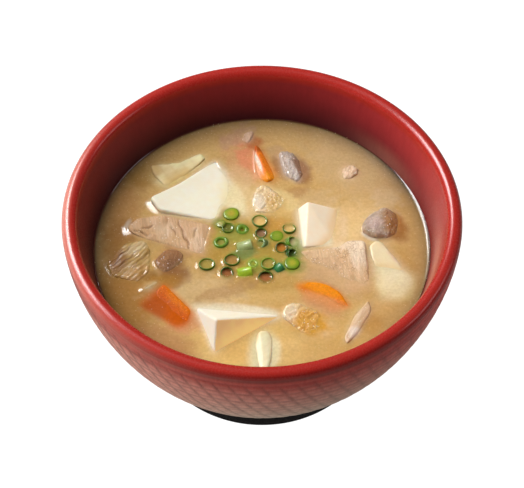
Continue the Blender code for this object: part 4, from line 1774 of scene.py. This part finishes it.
@dataclass
class Broth:
    """The broth as one body: a fine top that climbs at each edge, and sides and a floor against the bowl."""

    bowl: LacquerBowl
    cells: int = 300
    wall_meniscus: float = 0.9
    wall_spread: float = 0.75  # mm over which the climb at the wall falls to a third
    wall_climbs: tuple[Bearing, ...] = (Bearing(38, 22, -0.5), Bearing(-4, 12, 0.1))  # less or more of it
    edge_dark: Colour = (0.8, 0.78, 0.7)  # how much the bowl's shadow takes from each channel at the wall
    edge_reach: float = 3.2  # mm over which that falls to a third
    edge_shades: tuple[Bearing, ...] = (
        Bearing(100, 38, -0.36), Bearing(168, 25, 0.16), Bearing(305, 34, -0.4), Bearing(32, 14, 0.35),
    )
    wall_line: Colour = srgb(84, 40, 32)  # a dark line painted where the broth meets the wall: the dark wall through the thin broth, its dark reflection and the shade there
    pools: tuple[Patch, ...] = ()
    calm: tuple[Patch, ...] = ()  # where it lies flat, inside the rings
    calming: float = 0.85  # how much of the climb goes there
    soft_mm: float = 0.22  # blur of the climb
    gap: float = 0.1  # between its sides or its floor and the bowl

    def edge_radius(self) -> float:
        """Radius at which the top meets the wall."""
        height = np.array([SOUP_LEVEL + self.wall_meniscus])
        return float(self.bowl.inner_radius(height)[0]) + 0.03

    def top_grid(self) -> np.ndarray:
        """A square grid drawn out to a disc.

        Returns:
            Points in mm, one a row, rows of the grid in turn.
        """
        side = np.linspace(-1, 1, self.cells + 1)
        u, v = np.meshgrid(side, side)
        x = u * np.sqrt(1 - 0.5 * v * v) * self.edge_radius()
        y = v * np.sqrt(1 - 0.5 * u * u) * self.edge_radius()
        return np.stack([x.ravel(), y.ravel(), np.full(x.size, SOUP_LEVEL)], axis=1)

    def soften(self, values: np.ndarray, width: float) -> np.ndarray:
        """Blurs values on the grid.

        Args:
            values: one value, or one row, a grid point.
            width: the blur's width in mm.

        Returns:
            The blurred values.
        """
        cell = 2 * self.edge_radius() / self.cells
        reach = max(1, int(3 * width / cell))
        steps = np.arange(-reach, reach + 1)
        weights = np.exp(-0.5 * (steps * cell / width) ** 2)
        weights /= weights.sum()
        side = self.cells + 1
        grid = values.reshape(side, side, -1)
        for axis in (0, 1):
            pad = [(0, 0)] * 3
            pad[axis] = (reach, reach)
            wide = np.pad(grid, pad, mode="edge")
            parts = (weight * wide.take(range(i, i + side), axis) for i, weight in enumerate(weights))
            grid = sum(parts)
        return grid.reshape(values.shape)

    def depths(self, morsel: Morsel, top: np.ndarray) -> np.ndarray:
        """How far below the soup's level a piece lies at each grid point.

        Args:
            morsel: the piece.
            top: the grid.

        Returns:
            Depths in mm, negative where the piece stands out, and infinite where there is none.
        """
        depths = np.full(len(top), np.inf)
        low = morsel.points.min(axis=0) - 0.2
        high = morsel.points.max(axis=0) + 0.2
        within = (top[:, 0] > low[0]) & (top[:, 0] < high[0]) & (top[:, 1] > low[1]) & (top[:, 1] < high[1])
        tree = morsel.tree()
        down = Vector((0, 0, -1))
        for index in np.nonzero(within)[0]:
            hit = tree.ray_cast(Vector((top[index, 0], top[index, 1], SOUP_LEVEL + 15)), down)[0]
            if hit is not None:
                depths[index] = SOUP_LEVEL - hit.z
        return depths

    def waterline(self, morsel: Morsel) -> tuple[np.ndarray, np.ndarray, np.ndarray]:
        """Where a piece cuts the soup's level.

        Args:
            morsel: the piece.

        Returns:
            The starts and ends of short lines, and how steep the piece is at each, from 0 to 1.
        """
        corners = morsel.points[morsel.triangles]
        above = corners[:, :, 2] > SOUP_LEVEL
        crossing = np.nonzero(above.any(axis=1) & ~above.all(axis=1))[0]
        starts, ends, steep = [], [], []
        for index in crossing:
            triangle = corners[index]
            cuts = []
            for a, b in ((0, 1), (1, 2), (2, 0)):
                if above[index, a] != above[index, b]:
                    share = (SOUP_LEVEL - triangle[a, 2]) / (triangle[b, 2] - triangle[a, 2])
                    cuts.append(triangle[a] + share * (triangle[b] - triangle[a]))
            normal = np.cross(triangle[1] - triangle[0], triangle[2] - triangle[0])
            length = np.linalg.norm(normal)
            if len(cuts) == 2 and length > 0:
                starts.append(cuts[0][:2])
                ends.append(cuts[1][:2])
                steep.append(math.hypot(normal[0], normal[1]) / length)
        return np.array(starts), np.array(ends), np.array(steep)

    def climb(self, morsel: Morsel, top: np.ndarray) -> np.ndarray:
        """How far the soup climbs towards a piece.

        Args:
            morsel: the piece.
            top: the grid.

        Returns:
            Heights in mm, one a grid point.
        """
        lift = np.zeros(len(top))
        starts, ends, steep = self.waterline(morsel)
        if len(starts) == 0:
            return lift
        reach = 4.5 * morsel.cut.spread
        low = np.minimum(starts, ends).min(axis=0) - reach
        high = np.maximum(starts, ends).max(axis=0) + reach
        near = np.nonzero(((top[:, :2] > low) & (top[:, :2] < high)).all(axis=1))[0]
        heights = morsel.cut.meniscus * ease(0.3, 0.85, steep)
        runs = ends - starts
        squares = np.maximum((runs**2).sum(axis=1), 1e-12)
        for chunk in np.array_split(near, max(1, len(near) // 1500)):
            away = top[chunk, None, :2] - starts[None]
            share = np.clip((away * runs).sum(axis=2) / squares, 0, 1)
            distance = np.linalg.norm(away - share[:, :, None] * runs, axis=2)
            lift[chunk] = (heights * np.exp(-distance / morsel.cut.spread)).max(axis=1)
        return lift

    def surface(self, morsels: Sequence[Morsel]) -> tuple[np.ndarray, np.ndarray]:
        """The top's points and colours.

        Args:
            morsels: every piece that stands or lies in the soup.

        Returns:
            The points in mm and their linear colours.
        """
        top = self.top_grid()
        colours = tinted(top, BROTH_TINT, self.pools)
        lift = np.zeros(len(top))
        for morsel in morsels:
            cut = morsel.cut
            depth = self.depths(morsel, top)
            seen = np.where(np.isfinite(depth), np.exp(-np.clip(depth, 0, 50) / cut.fade), 0.0)
            seen = np.clip(self.soften(seen, cut.bleed) * cut.seen, 0, 1)[:, None]
            colours = mix(colours, tinted(top, cut.colour, cut.patches + cut.veil), seen)
            lift = np.maximum(lift, self.climb(morsel, top))
        for hole in self.calm:
            lift *= 1 - self.calming * hole.mask(top)
        from_wall = self.edge_radius() - np.hypot(top[:, 0], top[:, 1])
        angles = np.arctan2(top[:, 1], top[:, 0])
        climbs = 1 + sum(bearing.shares(angles) for bearing in self.wall_climbs).ravel()
        wall = self.wall_meniscus * climbs * np.exp(-from_wall / self.wall_spread)
        # Painted shadow of the bowl on the broth near the wall, stronger or weaker round it.
        shaded = 1 + sum(bearing.shares(angles) for bearing in self.edge_shades).ravel()
        for channel, dark in enumerate(self.edge_dark):
            colours[:, channel] *= 1 - dark * shaded * np.exp(-from_wall / self.edge_reach)
        # Painted dark line at the wall: the wall through the thin broth, its reflection and the shade there.
        colours = mix(colours, self.wall_line, ease(0.8, 0.2, from_wall)[:, None])
        top[:, 2] += np.maximum(self.soften(lift, self.soft_mm), wall)
        return top, colours

    def build(self, morsels: Sequence[Morsel], material: bpy.types.Material) -> bpy.types.Object:
        """Makes the broth.

        Args:
            morsels: every piece that stands or lies in the soup.
            material: its finish.

        Returns:
            The piece.
        """
        top, colours = self.surface(morsels)
        side = self.cells + 1
        faces: Faces = []
        for row in range(self.cells):
            for column in range(self.cells):
                corner = row * side + column
                faces.append((corner, corner + 1, corner + side + 1, corner + side))
        border = list(range(side))
        border += [row * side + self.cells for row in range(1, side)]
        border += [self.cells * side + column for column in range(self.cells - 1, -1, -1)]
        border += [row * side for row in range(self.cells - 1, 0, -1)]
        points = [top]
        above = border
        count = len(top)
        rim = top[border]
        depth = self.bowl.lip_middle - self.bowl.inside_floor
        steps = np.linspace(0.36, 1, 9)[:-1]
        heights = self.bowl.lip_middle - depth * np.sin(0.5 * math.pi * steps)
        heights = heights[heights < SOUP_LEVEL - 1]
        outward = rim[:, :2] / np.linalg.norm(rim[:, :2], axis=1)[:, None]
        for height in heights:
            radius = float(self.bowl.inner_radius(np.array([height]))[0]) - self.gap
            points.append(np.column_stack([outward * radius, np.full(len(border), height)]))
            below = list(range(count, count + len(border)))
            for i in range(len(border)):
                j = (i + 1) % len(border)
                faces.append((above[i], below[i], below[j], above[j]))
            above = below
            count += len(border)
        points.append(np.array([[0, 0, self.bowl.inside_floor + self.gap]]))
        faces += [(above[i], count, above[(i + 1) % len(above)]) for i in range(len(above))]
        every_point = np.concatenate(points)
        piece = add_piece("miso_broth", every_point, faces, material, ["soup"])
        under = np.tile(np.array(BROTH_TINT), (len(every_point) - len(top), 1))
        paint(piece, np.concatenate([colours, under]))
        return piece


def drifts_light_and_shade() -> tuple[Patch, ...]:
    """Broad areas of colour in the broth: its own drifts, with painted light in front and at the right and
    painted shade at the left and the back.

    Returns:
        The areas, the lowest first.
    """
    return (
        Patch((0.0, -36.0), (44.0, 18.0), 0, srgb(236, 198, 128), 0.7),
        Patch((-6.0, -40.0), (20.0, 11.0), 0, srgb(248, 216, 146), 0.8),
        Patch((30.0, 8.0), (14.0, 12.0), 0, srgb(244, 212, 156), 0.8),
        Patch((27.6, 7.6), (5.4, 9.0), 0, srgb(252, 218, 160), 0.6),
        Patch((30.0, 34.0), (22.0, 12.0), -40, srgb(222, 192, 146), 0.7),
        Patch((-6.0, 48.0), (26.0, 6.0), 0, srgb(212, 176, 122), 0.6),
        Patch((-44.0, -22.0), (11.0, 16.0), 25, srgb(196, 144, 76), 0.9),
        Patch((-30.0, -38.0), (12.0, 7.0), -30, srgb(212, 160, 108), 0.8),
        Patch((-46.0, 14.0), (8.0, 16.0), 0, srgb(204, 152, 96), 0.7),
        Patch((4.0, -18.0), (16.0, 6.0), 0, srgb(226, 190, 122), 0.5),
    )


def ring_pools() -> tuple[Patch, ...]:
    """Amber and green in the broth under and between the scallion rings.

    Returns:
        The areas, the lowest first.
    """
    leafy = srgb(158, 166, 72)
    return (
        Patch((-4.0, 1.0), (17.0, 15.0), 0, srgb(196, 158, 74), 0.9),
        Patch((-8.0, 2.6), (7.0, 6.0), 0, srgb(200, 184, 104), 0.6, 0.5),
        Patch((3.0, -3.6), (8.0, 4.6), 0, srgb(190, 170, 84), 0.6, 0.5),
        Patch((4.6, -14.4), (10.0, 3.6), 6, srgb(204, 164, 86), 0.6, 0.4),
        Patch((-12.4, 8.2), (4.6, 3.4), -20, leafy, 0.75, 0.4),
        Patch((-7.0, 5.0), (6.0, 4.0), 0, leafy, 0.6, 0.4),
        # A painted teal shadow in front of the lying ring.
        Patch((-5.4, -3.0), (4.6, 2.8), 10, srgb(110, 150, 92), 0.7, 0.4),
        Patch((-0.6, -7.4), (7.0, 3.2), 0, leafy, 0.65, 0.4),
        Patch((11.2, -1.4), (2.8, 5.4), 0, srgb(122, 160, 78), 0.75, 0.4),
        Patch((10.2, -7.8), (4.8, 3.8), 0, srgb(138, 168, 62), 0.75, 0.4),
    )


def food_pools() -> tuple[Patch, ...]:
    """Colours of what is sunk in the broth beside each piece of food, with painted shadows and painted
    glints.

    Returns:
        The areas, the lowest first.
    """
    return (
        Patch((-7.6, 37.0), (5.6, 8.0), 12, srgb(224, 168, 124), 0.6, 0.6),
        Patch((-4.4, 35.8), (3.8, 8.8), 16, srgb(240, 156, 118), 0.8, 0.5),
        Patch((-9.6, 46.4), (7.5, 3.2), 36, srgb(212, 170, 142), 0.7, 0.6),
        Patch((-3.0, 44.0), (3.2, 3.0), 0, srgb(196, 110, 64), 0.7),
        Patch((-3.0, -39.0), (14.0, 5.4), 33, srgb(250, 210, 130), 0.75, 0.2),
        Patch((-9.6, -24.8), (14.0, 2.2), -5, srgb(253, 240, 212), 0.95, 0.1),
        Patch((-6.6, 29.0), (6.4, 4.4), -35, srgb(234, 194, 150), 0.8, 0.4),
        Patch((-7.0, 19.6), (6.0, 10.0), 24, srgb(246, 218, 166), 0.75, 0.2),
        Patch((-9.6, 20.4), (3.4, 8.8), 24, srgb(255, 246, 208), 0.9, 0.1),
        Patch((24.4, 6.8), (3.8, 7.8), 0, srgb(252, 222, 180), 0.85, 0.2),
        Patch((-20.0, -21.0), (15.0, 10.0), 0, srgb(232, 204, 158), 0.6, 0.5),
        Patch((16.0, 19.0), (10.0, 5.0), 0, srgb(228, 198, 152), 0.6, 0.5),
        Patch((41.0, 20.0), (6.0, 4.0), -30, srgb(226, 198, 158), 0.6, 0.5),
        Patch((-26.6, -0.8), (5.0, 3.0), -20, srgb(206, 162, 120), 0.7, 0.4),
        Patch((13.2, 31.0), (3.6, 6.4), 10, srgb(160, 108, 64), 0.8),
        Patch((6.0, 33.0), (2.4, 5.4), 20, srgb(168, 120, 80), 0.8),
        Patch((11.0, 22.4), (4.0, 2.6), 0, srgb(196, 150, 96), 0.6),
        Patch((-33.8, 27.0), (5.0, 2.6), -50, srgb(236, 206, 150), 0.7, 0.2),
        # Painted highlights: a glint on the meniscus at the left end of the pork at the left, and one at the
        # lower left edge of the burdock at the right.
        Patch((-43.9, 7.8), (1.1, 3.4), -16, srgb(255, 250, 240), 0.75, 0.1),
        Patch((34.9, 3.8), (3.2, 1.2), -35, srgb(255, 248, 236), 0.9, 0.1),
        Patch((-36.0, -12.0), (4.2, 2.6), 0, srgb(156, 108, 56), 0.7),
        Patch((-31.0, -17.0), (5.0, 2.4), 10, srgb(214, 172, 130), 0.6),
        Patch((4.6, 40.4), (3.4, 3.0), 0, srgb(196, 160, 128), 0.5),
        Patch((43.6, 7.4), (3.6, 5.8), 20, srgb(172, 116, 62), 0.8),
        Patch((-28.0, -11.0), (5.4, 4.4), -30, srgb(150, 102, 70), 0.8),
        Patch((3.6, 17.8), (7.6, 6.2), -20, srgb(240, 204, 136), 0.8, 0.4),
        Patch((6.6, 19.2), (6.4, 3.4), -36, srgb(240, 216, 156), 0.8, 0.2),
        Patch((3.0, 8.6), (6.0, 4.0), 0, srgb(224, 166, 84), 0.5),
        Patch((12.6, -26.0), (9.0, 6.0), -20, srgb(220, 164, 88), 0.5),
        Patch((-11.6, -17.8), (12.0, 3.0), 19, srgb(190, 146, 100), 0.5, 0.6),
        Patch((23.0, -12.0), (12.0, 8.0), -20, srgb(218, 180, 136), 0.8, 0.4),
        Patch((14.8, -30.4), (7.4, 5.4), -20, srgb(226, 172, 84), 0.7, 0.4),
        Patch((-31.0, -14.0), (6.4, 3.4), 10, srgb(190, 138, 62), 0.8),
        Patch((-22.6, -29.8), (7.0, 4.4), 20, srgb(228, 158, 118), 0.6),
        Patch((19.0, -23.2), (8.0, 4.0), -24, srgb(226, 168, 124), 0.7),
        Patch((-40.0, 28.6), (6.0, 5.0), 40, srgb(178, 134, 66), 0.5),
        Patch((-46.0, 0.0), (6.0, 12.0), 0, srgb(168, 118, 60), 0.7),
        Patch((34.0, -30.6), (4.4, 4.0), 60, srgb(210, 156, 74), 0.5),
        Patch((44.6, -6.0), (3.4, 7.0), 30, srgb(212, 166, 88), 0.5),
        Patch((22.0, -39.0), (10.0, 5.0), 10, srgb(232, 192, 118), 0.5),
        Patch((-0.2, -42.6), (4.4, 9.6), -4, srgb(252, 240, 200), 0.95, 0.1),
        Patch((3.4, -42.0), (2.6, 6.6), -8, srgb(255, 244, 202), 0.9, 0.1),
        Patch((42.4, -15.6), (6.6, 6.0), -40, srgb(252, 232, 170), 0.9, 0.1),
        Patch((42.6, -12.0), (5.6, 2.6), -30, srgb(255, 240, 198), 0.9, 0.2),
        Patch((33.6, -6.0), (2.4, 8.0), 8, srgb(232, 192, 148), 0.7, 0.3),
    )


def broth_pools() -> tuple[Patch, ...]:
    """Every soft area of colour in the broth, the lowest first."""
    return drifts_light_and_shade() + ring_pools() + food_pools()


def ring_holes(rings: Sequence[Ring]) -> tuple[Patch, ...]:
    """The broth's colour inside each open ring.

    Args:
        rings: all the rings, open and closed.

    Returns:
        An area for each open ring.
    """
    return tuple(
        Patch((ring.x, ring.y), (ring.radius, ring.radius * 0.95), 0, ring.hole, 0.9, ragged=0)
        for ring in rings
        if ring.hole is not None
    )


# ---------------- camera, floor and light


@dataclass(frozen=True)
class Lamp:
    """A rectangular soft light that faces the bowl. Lengths are in metres."""

    name: str
    azimuth_deg: float  # its direction from the bowl, 0 at the back and 90 at the left
    elevation_deg: float
    distance: float
    size: tuple[float, float]
    watts: float
    diffuse: bool = False
    glossy: bool = False
    aim_height: float = 0.05

    def build(self) -> bpy.types.Object:
        """Makes the light.

        Returns:
            The light.
        """
        azimuth = math.radians(self.azimuth_deg)
        elevation = math.radians(self.elevation_deg)
        flat = math.cos(elevation)
        away = Vector((-math.sin(azimuth) * flat, math.cos(azimuth) * flat, math.sin(elevation)))
        data = bpy.data.lights.new(self.name, "AREA")
        data.shape = "RECTANGLE"
        data.size, data.size_y = self.size
        data.energy = self.watts
        light = bpy.data.objects.new(self.name, data)
        light.location = Vector((0, 0, self.aim_height)) + away * self.distance
        light.rotation_euler = away.to_track_quat("Z", "Y").to_euler()
        light.visible_diffuse = self.diffuse
        light.visible_glossy = self.glossy
        bpy.context.scene.collection.objects.link(light)
        return light


@dataclass
class Studio:
    """The camera at the photograph's angle, a pale floor, and soft light from the back left."""

    elevation_deg: float = 52.34
    distance: float = 0.602
    aim_height: float = 0.0493
    lens_mm: float = 128.7
    sensor_mm: float = 36.0
    floor_reach: float = 3.0
    ambient: float = 0.06
    lamps: tuple[Lamp, ...] = (
        Lamp("key", 58, 43, 0.8, (0.8, 0.7), 6.4, diffuse=True),
        Lamp("top", 60, 78, 0.8, (0.5, 0.5), 2.2, diffuse=True),
        Lamp("left_fill", 130, 12, 0.9, (0.6, 0.4), 3.4, diffuse=True),
        Lamp("right_fill", 292, 38, 0.9, (0.6, 0.4), 1.1, diffuse=True),
        Lamp("key_gloss", 58, 40, 0.8, (0.7, 0.4), 6.5, glossy=True),
        Lamp("glint", 50, 46, 0.8, (0.4, 0.32), 9.0, glossy=True),
        Lamp("right_gloss", 270, 30, 0.9, (0.5, 0.2), 1.0, glossy=True),
    )

    def build_camera(self) -> bpy.types.Object:
        """Makes the camera and picks it for the render.

        Returns:
            The camera.
        """
        camera = bpy.data.objects.new("camera", bpy.data.cameras.new("camera"))
        bpy.context.scene.collection.objects.link(camera)
        elevation = math.radians(self.elevation_deg)
        back = self.distance * math.cos(elevation)
        camera.location = (0, -back, self.aim_height + self.distance * math.sin(elevation))
        camera.rotation_euler = (math.pi / 2 - elevation, 0, 0)
        camera.data.lens = self.lens_mm
        camera.data.sensor_width = self.sensor_mm
        bpy.context.scene.camera = camera
        return camera

    def build_floor(self) -> bpy.types.Object:
        """Makes the plain pale floor.

        Returns:
            The floor.
        """
        material, desk, shader = new_material("pale_floor")
        seen = desk.add("LightPath").outputs["Is Camera Ray"]
        desk.feed(
            shader, Base_Color=desk.blend(seen, (0.4, 0.37, 0.33), (0.1, 0.1, 0.1)), Roughness=0.9,
            Specular_IOR_Level=0.0, Emission_Color=(1.0, 1.0, 1.0),
            Emission_Strength=desk.math("ADD", 0.3, desk.math("MULTIPLY", seen, 0.75)),
        )
        reach = self.floor_reach
        mesh = bpy.data.meshes.new("floor")
        corners = [(-reach, -reach, 0), (reach, -reach, 0), (reach, reach, 0), (-reach, reach, 0)]
        mesh.from_pydata(corners, [], [(0, 1, 2, 3)])
        mesh.materials.append(material)
        floor = bpy.data.objects.new("floor", mesh)
        bpy.context.scene.collection.objects.link(floor)
        return floor

    def build_world(self) -> None:
        """Makes the even light all round."""
        world = bpy.data.worlds.new("studio")
        bpy.context.scene.world = world
        world.use_nodes = True
        background = world.node_tree.nodes["Background"]
        background.inputs["Color"].default_value = (1, 1, 1, 1)
        background.inputs["Strength"].default_value = self.ambient

    def build(self) -> None:
        """Makes the whole studio."""
        bpy.context.scene.view_settings.view_transform = "Standard"
        self.build_camera()
        self.build_floor()
        for lamp in self.lamps:
            lamp.build()
        self.build_world()


# ---------------- building


def report(piece: bpy.types.Object) -> None:
    """Logs a piece's name and size."""
    log.info("%s: %d points", piece.name, len(piece.data.vertices))


def main() -> None:
    """Builds the bowl, the food, the broth and the studio."""
    logging.basicConfig(level=logging.INFO, format="%(name)s: %(message)s")
    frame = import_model()
    rim_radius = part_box("bowl")[1].x / MM
    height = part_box("bowl")[1].z / MM
    shelf = Shelf()

    bowl = LacquerBowl(rim_radius, height)
    report(bowl.build_body(LacquerFinish("red_lacquer", roughness=0.32).build(shelf)))
    report(bowl.build_foot(LacquerFinish("black_lacquer", roughness=0.4).build(shelf)))

    pools = broth_pools()
    morsels: list[Morsel] = []
    sets = (
        tofu_set, left_pork_set, crumbly_pork_set, carrot_set, burdock_set, daikon_set, taro_set, leaf_set,
        layer_set, shaving_set,
    )
    for food_set in sets:
        for morsel in food_set().build(frame["nodes"], shelf, pools):
            report(morsel.piece)
            morsels.append(morsel)

    scallions = scallion_rings()
    piece, ring_shapes = scallions.build(scallion_finish().build(shelf))
    report(piece)

    holes = ring_holes(scallions.rings)
    broth = Broth(bowl, pools=pools + holes, calm=holes)
    report(broth.build(morsels + ring_shapes, BrothFinish().build(shelf)))

    Studio().build()


if __name__ == "__main__":
    main()
